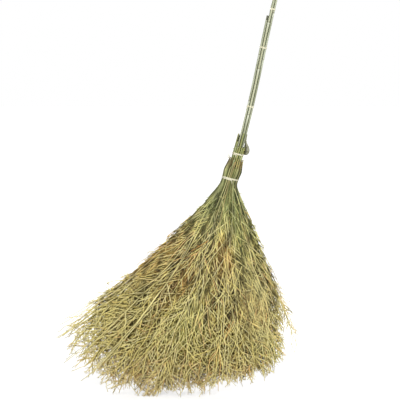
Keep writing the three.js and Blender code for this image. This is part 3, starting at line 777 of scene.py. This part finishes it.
def packed_butts(rng):
    """Where the butts lie across and deep, how thick they are and how far they rise above the neck."""
    found = []
    outside = HEAD_RADIUS
    for radius, rises in zip(BUTT_RADII, BUTT_RISES):
        middle = outside - radius
        count = int(2 * np.pi * middle / (2 * BUTT_SPACING * radius))
        turn = (np.arange(count) + rng.uniform(-BUTT_STRAY, BUTT_STRAY, count)) * 2 * np.pi / count
        rise = rng.uniform(*rises, count) * MM
        found.append([middle * np.cos(turn), middle * np.sin(turn), np.full(count, radius), rise])
        outside -= 2 * radius
    return np.hstack(found)


def branch_ends(x, y, from_inside, rng):
    """Where the branches end across and deep, as shares of the fan's half width and depth, and how long they
    are below the neck."""
    count = len(x)
    number = np.arange(count)
    ring_share = (from_inside * RING_SHARE + rng.uniform(*RING_STRAYS, count)).clip(0, 1)
    size = np.interp(ring_share, END_RING_SHARES, END_SIZE_SHARES)
    # Evenly across the fan: by the angle round the neck, not by the cosine of it
    half_turn = np.arctan2(y, x) / np.pi
    evenly = 1 - 2 * np.abs(half_turn)
    across = (evenly * END_SPREAD_SHARE + rng.normal(0, END_STRAY_SHARE, count)).clip(*END_LIMIT_SHARES)
    fill = smooth((np.abs(across) - FILL_START_SHARE) / FILL_WIDTH_SHARE) * (number * FILL_STEP_SHARE % 1)
    deep = END_DEPTH_SHARE * np.sign(half_turn) * size * np.sqrt(1 - across ** 2) * (1 - fill)
    turn = across * FAN_ANGLE
    edge = smooth((np.abs(across) - EDGE_START_SHARE) / EDGE_WIDTH_SHARE)
    length = reach_towards(turn) * np.cos(turn) * rng.uniform(1 - END_RAGGEDNESS, 1, count)
    return across, deep, length * (1 - EDGE_CUT_SHARE * edge * (1 + number % 3))


def grow_branches(rng):
    """The main branches, from their butts above the neck to their ends in the fan."""
    x, y, thick, rise = packed_butts(rng)
    count = len(x)
    start_radius = np.hypot(x, y)
    from_inside = (start_radius - start_radius.min()) / np.ptp(start_radius)
    u_end, v_end, length = branch_ends(x, y, from_inside, rng)
    share = np.linspace(0, 1, BRANCH_STEPS)[None] ** BRANCH_STEP_POWER
    down = -rise[:, None] + share * (length + rise)[:, None]
    blend = smooth(down / SETTLING_LENGTH)
    leaning = 1 + np.interp(-down, LEAN_HEIGHTS, LEANS) * (from_inside / start_radius)[:, None]
    u = (x[:, None] / HEAD_RADIUS * (1 - blend) + u_end[:, None] * blend) * leaning
    v = (y[:, None] / HEAD_RADIUS * (1 - blend) + v_end[:, None] * blend) * leaning
    sway = np.cumsum(rng.normal(0, SWAY, (count, BRANCH_STEPS, 2)), axis=1)
    sway = sway * smooth(down / SWAY_START_LENGTH)[..., None]
    # Above the neck they follow the bundle
    beside = AXIS.at(np.maximum(-down, 0))[..., :2] - AXIS.at(np.zeros(1))[0, :2]
    lines = in_fan(u + sway[..., 0], v + sway[..., 1], down, beside)
    lines = cut_back(lines, rng.uniform(1 - BRANCH_RAGGEDNESS, 1, count))
    base = rng.uniform(*BRANCH_THICKNESSES, count) * thick
    radii = tapered(base, BRANCH_TIP, BRANCH_STEPS, BRANCH_TAPER_POWER)
    quarter = np.round(np.degrees(np.arctan2(y, -x)) / 90).astype(int) % len(SPRAY_NODES)
    return Strands(lines, radii, rng.random(count), quarter)


# How strands grow on their parents: how many on each, from where to where along it, at what angles in
# degrees, how long in mm, how thick against the parent there and at most, how thick at the tip, in how many
# points, how much they stray and zigzag at each, and how far they turn back along the parent. A crowding
# under 1 moves them towards the parent's tip.
LIMBS = {
    "per": 9, "low": 0.16, "high": 0.86, "angles": (13, 37), "lengths": (180, 440), "base_share": 0.95,
    "most": 3.3 * MM, "tip": 1.5 * MM, "steps": 14, "stray": 0.02, "zigzag": 0.04, "ease": 0,
}
TWIGS = {
    "per": 7, "low": 0.16, "high": 1, "angles": (22, 50), "lengths": (70, 190), "base_share": 1.1,
    "most": 3.0 * MM, "tip": 1.5 * MM, "steps": 7, "stray": 0.02, "zigzag": 0.05, "ease": 0, "crowding": 0.7,
}
TIPS = {
    "per": 3, "low": 0.3, "high": 1, "angles": (22, 52), "lengths": (40, 110), "base_share": 1,
    "most": 1.9 * MM, "tip": 1.2 * MM, "steps": 5, "stray": 0.04, "zigzag": 0.06, "ease": 0.1,
}
SHEATHS = {
    "per": 1, "low": 0.05, "high": 0.95, "angles": (12, 50), "lengths": (12, 30), "base_share": 1,
    "most": 1 * MM, "tip": 1 * MM, "steps": 4, "stray": 0.15, "zigzag": 0, "ease": 0,
}
WISP_TWIGS = {
    "per": 13, "low": 0.1, "high": 1, "angles": (16, 48), "lengths": (25, 80), "base_share": 0.9,
    "most": 1.4 * MM, "tip": 0.9 * MM, "steps": 6, "stray": 0.06, "zigzag": 0.1, "ease": 0.1,
}
STRAY_WAYS = np.array([1, 0.6, 1])  # they stray less through the fan's thickness than in its plane
DEPTH_STRAY = 0.06  # of the way in which they leave the parent
TIP_SHORTENING = 0.25  # how much shorter they are at the parent's tip
BASE_SHARES = (0.75, 1.1)  # of the most
PARENT_TONE = 0.4  # how much of the parent's tone they share
# How they are trimmed: how ragged they end as a share of the fan's reach, the shortest that stays, and the
# least and the most of the fan's thickness that they keep to
LIMB_TRIM = {"raggedness": 0.06, "shortest": 100 * MM, "shell": (0.78, 1.0)}
TWIG_TRIM = {"raggedness": 0.05, "shortest": 25 * MM, "shell": (0.66, 1.08)}
TIP_TRIM = {"raggedness": 0.05, "shortest": 12 * MM, "shell": (0.45, 1.05)}
# The share of the tips that grow near the neck, and how far below it more of them begin to and all do
TIPS_AT_NECK = 0.15
TIPS_START = 350 * MM
TIPS_LENGTH = 450 * MM


def wander(starts, headings, along, lengths, steps, stray, zigzag, ease, rng):
    """Lines that leave their starts along headings, turn back to the way along and stray at each step."""
    count = len(starts)
    drift = np.cumsum(rng.normal(0, stray, (count, steps - 1, 3)) * STRAY_WAYS, axis=1)
    planar = unit(np.cross(BACK, headings))
    swing = (np.where(np.arange(steps - 1) % 2, 1, -1) * zigzag)[None, :, None] * planar[:, None]
    back = ease * np.linspace(0, 1, steps - 1)[None, :, None]
    ways = unit(headings[:, None] * (1 - back) + along[:, None] * back + drift + swing)
    moves = ways * (lengths / (steps - 1))[:, None, None]
    return starts[:, None] + np.concatenate([np.zeros((count, 1, 3)), np.cumsum(moves, axis=1)], axis=1)


def shoots(parents, rng, per, low, high, angles, lengths, base_share, most, tip, steps, crowding=1.0, **way):
    """New strands that leave their parents in pairs, one to each side of a knot."""
    count, pairs = len(parents.lines), math.ceil(per / 2)
    which = np.repeat(np.arange(count), per)
    order = np.tile(np.arange(per), count)
    spot = np.arange(pairs) + rng.random((count, pairs))
    share = low + (high - low) * (spot[which, order // 2] / pairs) ** crowding
    starts, along, thick = parents.at(which, share)
    planar = unit(np.cross(BACK, along))
    side = np.where((order + which) % 2, 1, -1)
    turn = np.radians(rng.uniform(*angles, len(which))) * side
    depth = rng.normal(0, DEPTH_STRAY, len(which))
    headings = unit(along * np.cos(turn)[:, None] + planar * np.sin(turn)[:, None] + depth[:, None] * BACK)
    reach = rng.uniform(*lengths, len(which)) * MM * (1 - TIP_SHORTENING * share)
    lines = wander(starts, headings, along, reach, steps, rng=rng, **way)
    base = np.minimum(thick * base_share, most * rng.uniform(*BASE_SHARES, len(which)))
    radii = tapered(base, tip, steps)
    tones = PARENT_TONE * parents.tones[which] + (1 - PARENT_TONE) * rng.random(len(which))
    return Strands(lines, radii, tones, parents.spray[which])


def trimmed(strands, rng, raggedness, shortest, shell):
    """Held inside the fan, cut back to its reach, and dropped where too little is left."""
    count = len(strands.lines)
    lines = held_in(strands.lines, rng.uniform(*shell, count))
    lines = cut_back(lines, rng.uniform(1 - raggedness, 1, count))
    left = step_lengths(lines).sum(1)
    return Strands(lines, strands.radii, strands.tones, strands.spray).only(left > shortest)


SHEATH_RADII = np.array([0.5, 1.5, 1.1, 0.15]) * MM  # from the foot to the point
SHEATH_SIZES = (0.7, 1.2)


def sheaths(parents, rng):
    """The dry scales left at the twigs' joints: short, widest near the foot, and pointed."""
    scales = shoots(parents, rng, **SHEATHS)
    count = len(scales.lines)
    scales.radii = SHEATH_RADII * rng.uniform(*SHEATH_SIZES, (count, 1))
    return scales.only(excess(scales.lines, np.ones(count)).max(1) < 0)


# Broken side twigs on the stems round the neck, of which the first ones are long and stand out to the left.
# Heights above the neck, lengths and radii without a unit are in mm.
SNAGS = 16
LONG_SNAG_HEIGHTS = [96, 91]
LONG_SNAG_LENGTH = 24
LONG_SNAG_WAY = np.array([1.0, -0.2])
SNAG_HEIGHTS = (84, 150)
SNAG_LENGTHS = (4, 11)
SNAG_STRAY = 6 * MM
SNAG_OUTWARD = 0.75  # of its length that a snag goes out
SNAG_RISES = (0.4, 0.9)  # and that it rises
SNAG_RADII = (1.2, 1.9)
SNAG_TIP = 1.0 * MM
SNAG_FOOT_SHARE = 0.7  # of the stem's radius, where a snag starts
SNAG_STEPS = 4


def snags(rng):
    rods = list(STEMS.values())
    long = len(LONG_SNAG_HEIGHTS)
    heights = np.array([*LONG_SNAG_HEIGHTS, *rng.uniform(*SNAG_HEIGHTS, SNAGS - long)]) * MM
    lines = []
    for index, height in enumerate(heights):
        circles = np.array(bound_circles(rods, height))
        if index < long:
            x, y, radius = circles[circles[:, 0].argmax()]
            out, length = LONG_SNAG_WAY, LONG_SNAG_LENGTH * MM
        else:
            x, y, radius = circles[rng.integers(len(circles))]
            out = unit(np.array([x, y]) + rng.normal(0, SNAG_STRAY, 2))
            length = rng.uniform(*SNAG_LENGTHS) * MM
        away = np.linspace(0, 1, SNAG_STEPS)[:, None] * length
        start = np.array([x, y]) + out * radius * SNAG_FOOT_SHARE
        rise = away * rng.uniform(*SNAG_RISES)
        lines.append(np.column_stack([start + away * out * SNAG_OUTWARD, height + rise]))
    radii = tapered(rng.uniform(*SNAG_RADII, SNAGS) * MM, SNAG_TIP, SNAG_STEPS)
    return Strands(row_frame(np.array(lines)), radii, rng.random(SNAGS), np.full(SNAGS, LEFT_SPRAY))


# Loose twigs that hang down beside the fan's short side: how many, how far below the neck they start, how
# long they are, and where they lie as shares of the fan's half width and depth
WISPS = 11
WISP_STARTS = (320 * MM, 430 * MM)
WISP_LENGTHS = (180 * MM, 300 * MM)
WISP_START_SHARE = 0.93
WISP_END_SHARES = (0.96, 1.0)
WISP_DEPTH_SHARES = (-0.3, 0.3)
WISP_SWAY = 0.003
WISP_RADIUS = 1.4 * MM
WISP_TIP = 0.7 * MM
WISP_STEPS = 16
WIDEST = 0.54  # how far out along X they may reach


def wisps(rng):
    """The loose twigs, and smaller twigs on them."""
    starts, lengths = rng.uniform(*WISP_STARTS, (WISPS, 1)), rng.uniform(*WISP_LENGTHS, (WISPS, 1))
    share = np.linspace(0, 1, WISP_STEPS)
    down = starts + share * lengths
    ends = rng.uniform(*WISP_END_SHARES, (WISPS, 1))
    # Halfway down they have swung out to where they end
    u = -(WISP_START_SHARE + (ends - WISP_START_SHARE) * smooth(2 * share))
    u = u + np.cumsum(rng.normal(0, WISP_SWAY, (WISPS, WISP_STEPS)), axis=1)
    lines = in_fan(u, rng.uniform(*WISP_DEPTH_SHARES, (WISPS, 1)), down)
    radii = tapered(np.full(WISPS, WISP_RADIUS), WISP_TIP, WISP_STEPS)
    loose = Strands(lines, radii, rng.random(WISPS), np.full(WISPS, RIGHT_SPRAY))
    twigs = shoots(loose, rng, **WISP_TWIGS)
    return [part.only(part.lines[..., 0].max(1) < WIDEST) for part in (loose, twigs)]


# Bark colours by tone: of the twigs on the outside, and darker ones as painted shade for those inside the
# head
OUTER_BARK = [
    (0.00, 0x52481A),
    (0.12, 0x80723A),
    (0.26, 0xBEAE64),
    (0.38, 0xF0E290),
    (0.60, 0xF6E89A),
    (0.86, 0xFAF0B0),
    (0.96, 0xE0BC7C),
    (1.00, 0xBE904C),
]
# Painted shade: the darker bark given to the strands that others lie over
SHADED_INNER_BARK = [
    (0.00, 0x322C0C),
    (0.35, 0x564A1A),
    (0.70, 0x8E8238),
    (0.90, 0x7E6234),
    (1.00, 0xAC9C52),
]
INNER_LIGHT = 0.24  # inside the head, little light comes in
TONE_STRAY = 0.06
# And of those round the neck, green and in shade, with a browner stretch below the fourth tie
NECK_BARK = [
    (0.00, 0x333E18),
    (0.28, 0x55642C),
    (0.50, 0x8E9C58),
    (0.75, 0xB8C084),
    (0.90, 0xBEB870),
    (1.00, 0x8C8448),
]
NECK_REACH = 300 * MM
NECK_FULLNESS = 1.2  # over 1, the neck's colour keeps its full strength some way up and down from it
NECK_SHARE = 0.6  # of a strand's colour there, at least
NECK_BROWN = 0xA8843E
NECK_BROWN_SHARE = 0.6
NECK_BROWN_HEIGHT = 84 * MM
NECK_BROWN_LENGTH = 42 * MM
# The lower part of the head, where the ends are paler: how far below the neck it begins, over what length,
# how far the tones are lifted there, and how light the bark is above it and how much more in it
PALE_START = 420 * MM
PALE_LENGTH = 400 * MM
PALE_LIFT = 0.2
BARK_LIGHT = 1.16
PALE_LIGHT = 0.94
# And the lowest part of the head, where strands count as hiding each other less, so that its painted shade is
# lighter
LESS_SHADE_START = 680 * MM
LESS_SHADE_LENGTH = 300 * MM
LESS_SHADE_OPENNESS = 0.25
# How many layers of strands leave a strand as light as the outermost, and how many hide it in full painted
# shade
OPEN_LAYERS = 0.1
SHUT_LAYERS = 0.62
PALEST = 0.92  # no channel of a bark is lighter

# Patches of another colour: turn from the middle as a share of FAN_ANGLE, how far below the neck, how long,
# how strong at most, and the colour
PATCHES = [
    (0.88, 400 * MM, 130 * MM, 0.75, 0xD8A648),
    (-0.28, 300 * MM, 100 * MM, 0.7, 0xC48A44),
    (-0.75, 520 * MM, 90 * MM, 0.4, 0xD89C60),
    (-0.55, 930 * MM, 130 * MM, 0.7, 0xFADCA4),
    (-0.1, 1000 * MM, 130 * MM, 0.8, 0xFADCA4),
    (0.3, 1040 * MM, 140 * MM, 0.8, 0xFADCA4),
    (0.65, 1080 * MM, 150 * MM, 0.8, 0xFADCA4),
    (0.95, 1000 * MM, 130 * MM, 0.7, 0xFADCA4),
    (-0.6, 200 * MM, 130 * MM, 0.7, 0x7F9048),
    (0.35, 480 * MM, 120 * MM, 0.5, 0xA87C3C),
    (0.1, 620 * MM, 140 * MM, 0.5, 0x8C9450),
    (-0.8, 540 * MM, 260 * MM, 0.7, 0xF8F2A8),
    (0.8, 760 * MM, 300 * MM, 0.5, 0xF8EEA0),
]
PATCH_WIDTH = 0.2  # as a share of FAN_ANGLE

# Waves that make lighter and darker clouds over the head
CLOUD_SEED = 3
CLOUD_LENGTHS = (26 * MM, 90 * MM)
CLOUD_WAVES = 14
CLOUD_PHASES = (0, 6.28)  # about a full turn
CLOUD_WAYS = (1, 0.5, 0.55)  # how fast they change across the fan, through it and up it
CLOUD_STRENGTH = 0.34
CLOUD_LIMITS = (0.3, 1.6)


def blended(palette, shares):
    stops = np.array([place for place, _ in palette])
    colours = np.array([linear(colour) for _, colour in palette])
    return np.stack([np.interp(shares, stops, colours[:, k]) for k in range(3)], -1)


def clouds(places):
    """How light each place is, which changes smoothly over the head."""
    rng = np.random.default_rng(CLOUD_SEED)
    ways = rng.normal(0, 1, (CLOUD_WAVES, 3)) * CLOUD_WAYS
    waves = unit(ways) * 2 * np.pi / rng.uniform(*CLOUD_LENGTHS, (CLOUD_WAVES, 1))
    phases = rng.uniform(*CLOUD_PHASES, CLOUD_WAVES)
    total = sum(np.sin(places @ wave + phase) for wave, phase in zip(waves, phases))
    return (1 + CLOUD_STRENGTH * total / math.sqrt(CLOUD_WAVES)).clip(*CLOUD_LIMITS)


class Cover:
    """How much of the head lies over a place, on the side of the flat fan where less does, which sets how
    much painted shade the bark gets there.
    """

    CELL = 7 * MM  # across the fan and up it
    DEEPEST = 1.0  # more than any depth, to tell one cell's depths from the next one's
    ROWS = 1000  # more than the cells up the fan
    SPACING = 4 * MM  # about, between the places counted along a strand

    def __init__(self, generations):
        keys, areas = [], []
        for strands in generations:
            lengths = step_lengths(strands.lines)
            parts = max(1, round(float(lengths.mean() / self.SPACING)))
            for share in (np.arange(parts) + 0.5) / parts:
                places = strands.lines[:, :-1] * (1 - share) + strands.lines[:, 1:] * share
                widths = strands.radii[:, :-1] * (1 - share) + strands.radii[:, 1:] * share
                keys.append(self.key(places).ravel())
                areas.append((2 * widths * lengths / parts).ravel())
        keys, areas = np.concatenate(keys), np.concatenate(areas)
        order = np.argsort(keys)
        self.keys = keys[order]
        self.total = np.concatenate([[0], np.cumsum(areas[order])]) / self.CELL ** 2

    def cell(self, places):
        across, up = np.floor(places[..., 0] / self.CELL), np.floor(places[..., 2] / self.CELL)
        return (across * self.ROWS + up) * 2 * self.DEEPEST

    def key(self, places):
        return self.cell(places) + places[..., 1]

    def sum_below(self, keys):
        return self.total[np.searchsorted(self.keys, keys)]

    def over(self, places, radii):
        """In layers: 1 where the strands over a place would just hide it."""
        cell, depth = self.cell(places), places[..., 1]
        front = self.sum_below(cell + depth - radii) - self.sum_below(cell - self.DEEPEST)
        behind = self.sum_below(cell + self.DEEPEST) - self.sum_below(cell + depth + radii)
        return np.minimum(front, behind)


def patched(colours, places, rng):
    """The colours with the patches laid over them, more on one strand than on the next."""
    down = -places[..., 2]
    turn = np.arctan2(places[..., 0], np.maximum(down, 1 * MM)) / FAN_ANGLE
    for patch_turn, patch_down, size, strength, colour in PATCHES:
        near = np.exp(-((turn - patch_turn) / PATCH_WIDTH) ** 2 - ((down - patch_down) / size) ** 2)
        share = (strength * near * rng.random((len(colours), 1)))[..., None]
        colours = colours * (1 - share) + linear(colour) * share
    return colours


def bark_and_shade_colours(strands, shade, cover, rng):
    """A colour for each point, by the strand's own tone: with painted shade inside the head and greener near
    the neck.
    shade is how light the strands are above the pale part."""
    count = len(strands.tones)
    tones = (strands.tones + rng.normal(0, TONE_STRAY, count)).clip(0, 1)
    rank = np.argsort(np.argsort(tones)) / max(count - 1, 1)
    places = broom_frame(strands.lines)
    down = -places[..., 2]
    # Lighter painted shade towards the ends of the head
    less_shade = smooth((down - LESS_SHADE_START) / LESS_SHADE_LENGTH)
    layers = cover.over(strands.lines, strands.radii) * (1 - LESS_SHADE_OPENNESS * less_shade)
    # Painted shade: the more strands lie over a point, the more it takes of the darker inner bark
    lit_share = smooth((SHUT_LAYERS - layers) / (SHUT_LAYERS - OPEN_LAYERS))[..., None]
    pale = smooth((down - PALE_START) / PALE_LENGTH)[..., None]
    lifted = rank[:, None] + (1 - rank[:, None]) * PALE_LIFT * pale[..., 0]
    shaded_bark = INNER_LIGHT * blended(SHADED_INNER_BARK, lifted) * (1 + pale)
    own = blended(OUTER_BARK, lifted) * lit_share + shaded_bark * (1 - lit_share)
    near_neck = smooth(NECK_FULLNESS - np.abs(down) / NECK_REACH)
    green = (near_neck * (NECK_SHARE + (1 - NECK_SHARE) * rng.random((count, 1))))[..., None]
    brown = NECK_BROWN_SHARE * smooth(1 - np.abs(down + NECK_BROWN_HEIGHT) / NECK_BROWN_LENGTH)[..., None]
    neck = blended(NECK_BARK, rank)[:, None] * (1 - brown) + linear(NECK_BROWN) * brown
    own = patched(own, places, rng) * (BARK_LIGHT + PALE_LIGHT * pale)
    colours = (own * (1 - green) + neck * green) * (shade + (1 - shade) * pale) * clouds(places)[..., None]
    return colours * np.minimum(1, PALEST / colours.max(-1, keepdims=True))


STRAND_GRAIN_SHIFTS = (0, 90)


def make_strands(name, strands, sides, shade, cover, rng):
    """One piece for each spray that has such strands."""
    shades = bark_and_shade_colours(strands, shade, cover, rng)
    for spray, node in enumerate(SPRAY_NODES):
        mine = strands.spray == spray
        if not mine.any():
            continue
        part = strands.only(mine)
        count, steps = part.lines.shape[:2]
        turns = rng.uniform(0, 2 * np.pi, count)
        ring, angles = rings(part.lines, part.radii, sides, directions(part.lines), turns)
        ring[..., 2] = ring[..., 2].clip(min=0)
        quads, ends = walls(count, steps, sides)
        shifts = rng.uniform(*STRAND_GRAIN_SHIFTS, (count, 1, 1, 3))
        bark = np.concatenate([shades[mine], np.ones((count, steps, 1))], -1)
        bark = np.broadcast_to(bark[:, :, None], (count, steps, sides, 4))
        attributes = {
            "grain": ("FLOAT_VECTOR", "vector", round_grain(angles, run_along(part.lines), shifts)),
            "bark": ("FLOAT_COLOR", "color", bark),
        }
        label = node.removeprefix("twig_") + "_" + name
        piece(label, ring.reshape(-1, 3), quads, ends, [node], [TWIG, CUT], attributes)


HEAD_SEED = 41
# How many sides the strands have, and how light they are above the pale part
STRAND_FORMS = {
    "branches": (7, 0.62), "limbs": (5, 0.94), "twigs": (4, 1.0), "tips": (3, 1.0), "sheaths": (3, 1.0),
    "wisps": (5, 1.0), "wisp_twigs": (4, 1.0), "snags": (6, 1.0),
}


def make_head():
    """Grows the head and makes its pieces. Returns the branches, which the head's tie holds."""
    rng = np.random.default_rng(HEAD_SEED)
    branches = grow_branches(rng)
    limbs = trimmed(shoots(branches, rng, **LIMBS), rng, **LIMB_TRIM)
    carriers = joined(branches, limbs, LIMBS["steps"])
    twigs = trimmed(shoots(carriers, rng, **TWIGS), rng, **TWIG_TRIM)
    tips = shoots(twigs, rng, **TIPS)
    down = -broom_frame(tips.lines[:, 0])[:, 2]
    likely = TIPS_AT_NECK + (1 - TIPS_AT_NECK) * smooth((down - TIPS_START) / TIPS_LENGTH)
    tips = trimmed(tips.only(rng.random(len(down)) < likely), rng, **TIP_TRIM)
    scales = sheaths(twigs, rng)
    loose, loose_twigs = wisps(rng)
    cover = Cover((branches, limbs, twigs, tips))
    grown = {
        "branches": branches, "limbs": limbs, "twigs": twigs, "tips": tips, "sheaths": scales,
        "wisps": loose, "wisp_twigs": loose_twigs,
    }
    for name, strands in grown.items():
        make_strands(name, strands, *STRAND_FORMS[name], cover, rng)
    make_strands("snags", snags(rng), *STRAND_FORMS["snags"], cover, rng)
    return branches


def make_ties(branches):
    rng = np.random.default_rng(TIE_SEED)
    culms, stems = list(CULMS.values()), list(STEMS.values())

    def handle(height):
        return bound_circles(culms, height)

    def neck(height):
        return bound_circles(culms + stems, height)

    def head(height):
        found = []
        for line, radius in zip(broom_frame(branches.lines), branches.radii):
            if line[0, 2] > height:
                spot = [np.interp(-height, -line[:, 2], line[:, k]) for k in range(2)]
                found.append((*spot, radius[0]))
        return found

    for name in ("tie_top", "tie_upper", "tie_middle"):
        make_tie(name, handle, rng)
    make_tie("tie_neck", neck, rng)
    make_tie("tie_head", head, rng)


# The stage: a pale floor, soft lights and the camera at the photograph's angle

FLOOR_SIZE = 60
FLOOR_GREY = 0.5
FLOOR_ROUGHNESS = 0.9
FLOOR_GLOWS = (0.66, 1.0)  # what is added to what is seen of it, under the broom and far from it
FLOOR_GLOW_REACH = 8.0  # the distance from the broom that the next two are shares of
FLOOR_GLOW_SHARES = (0.12, 0.5)  # where the one glow ends and the other begins
WORLD_STRENGTH = 0.14
# Each lamp's name, place, size, power and what it looks at
LAMPS = [
    ("key", (-0.4, -8.2, 5.0), 1.2, 690, (0.0, 0, 0.6)),
    ("fill", (2.8, -2.6, 1.6), 2.4, 30, (0.1, 0, 0.7)),
    ("back", (0.6, 3.4, 2.6), 2.4, 105, (0.1, 0, 0.8)),
]
PHOTO_PIXELS = 400
PIXEL = 4.38 * MM  # at the broom
NECK_PIXEL = 229.5  # how far from the photograph's left border the neck lies
FLOOR_PIXEL = 396  # and from its upper border the floor
CAMERA_ELEVATION = math.radians(5)
CAMERA_DISTANCE = 9.0


def make_floor():
    bpy.ops.mesh.primitive_plane_add(size=FLOOR_SIZE, location=(0, 0, 0))
    floor = bpy.context.object
    floor.name = "floor"
    n = Nodes(bpy.data.materials.new("floor"))
    n.put(n.shader.inputs["Base Color"], (FLOOR_GREY, FLOOR_GREY, FLOOR_GREY, 1))
    n.put(n.shader.inputs["Roughness"], FLOOR_ROUGHNESS)
    # The floor looks white but keeps shadows: a glow that is seen and lights nothing is added to its grey
    away = n.add("ShaderNodeVectorMath", operation="LENGTH")
    n.put(away.inputs[0], n.add("ShaderNodeTexCoord").outputs["Object"])
    share = n.maths("DIVIDE", away.outputs["Value"], FLOOR_GLOW_REACH)
    added_light = n.ramp(share, list(zip(FLOOR_GLOW_SHARES, FLOOR_GLOWS)), smoothed=True)
    strength = n.maths("MULTIPLY", n.seen(), added_light)
    glow = n.add("ShaderNodeEmission", {"Color": WHITE, "Strength": strength})
    added = n.add("ShaderNodeAddShader", {0: n.shader.outputs[0], 1: glow.outputs[0]})
    n.put(n.tree.nodes["Material Output"].inputs["Surface"], added.outputs[0])
    floor.data.materials.append(n.owner)


def make_world():
    """Soft light from all round, which the camera sees as plain white."""
    n = Nodes(bpy.data.worlds.new("studio"))
    bpy.context.scene.world = n.owner
    light = n.tree.nodes["Background"]
    n.put(light.inputs["Color"], WHITE)
    n.put(light.inputs["Strength"], WORLD_STRENGTH)
    white = n.add("ShaderNodeBackground", {"Color": WHITE})
    mixed = n.add("ShaderNodeMixShader", {0: n.seen(), 1: light.outputs[0], 2: white.outputs[0]})
    n.put(n.tree.nodes["World Output"].inputs["Surface"], mixed.outputs[0])


def placed(name, data, place, way):
    """A lamp or camera at a place, turned to look along a way."""
    made = bpy.data.objects.new(name, data)
    bpy.context.scene.collection.objects.link(made)
    made.location = place
    made.rotation_euler = way.to_track_quat("-Z", "Y").to_euler()
    return made


def area_light(name, place, size, power, aim):
    data = bpy.data.lights.new(name, "AREA")
    data.size = size
    data.energy = power
    placed(name, data, place, Vector(aim) - Vector(place))


def make_camera():
    half = PHOTO_PIXELS / 2
    middle = Vector((NECK[0] + (half - NECK_PIXEL) * PIXEL, 0, (FLOOR_PIXEL - half) * PIXEL))
    data = bpy.data.cameras.new("camera")
    data.lens = data.sensor_width * CAMERA_DISTANCE / (PHOTO_PIXELS * PIXEL)
    back = Vector((0, -math.cos(CAMERA_ELEVATION), math.sin(CAMERA_ELEVATION)))
    bpy.context.scene.camera = placed("camera", data, middle + CAMERA_DISTANCE * back, -back)


bpy.context.scene.view_settings.view_transform = "Standard"
make_camera()
make_world()
make_floor()
for lamp in LAMPS:
    area_light(*lamp)
make_rods()
make_ties(make_head())
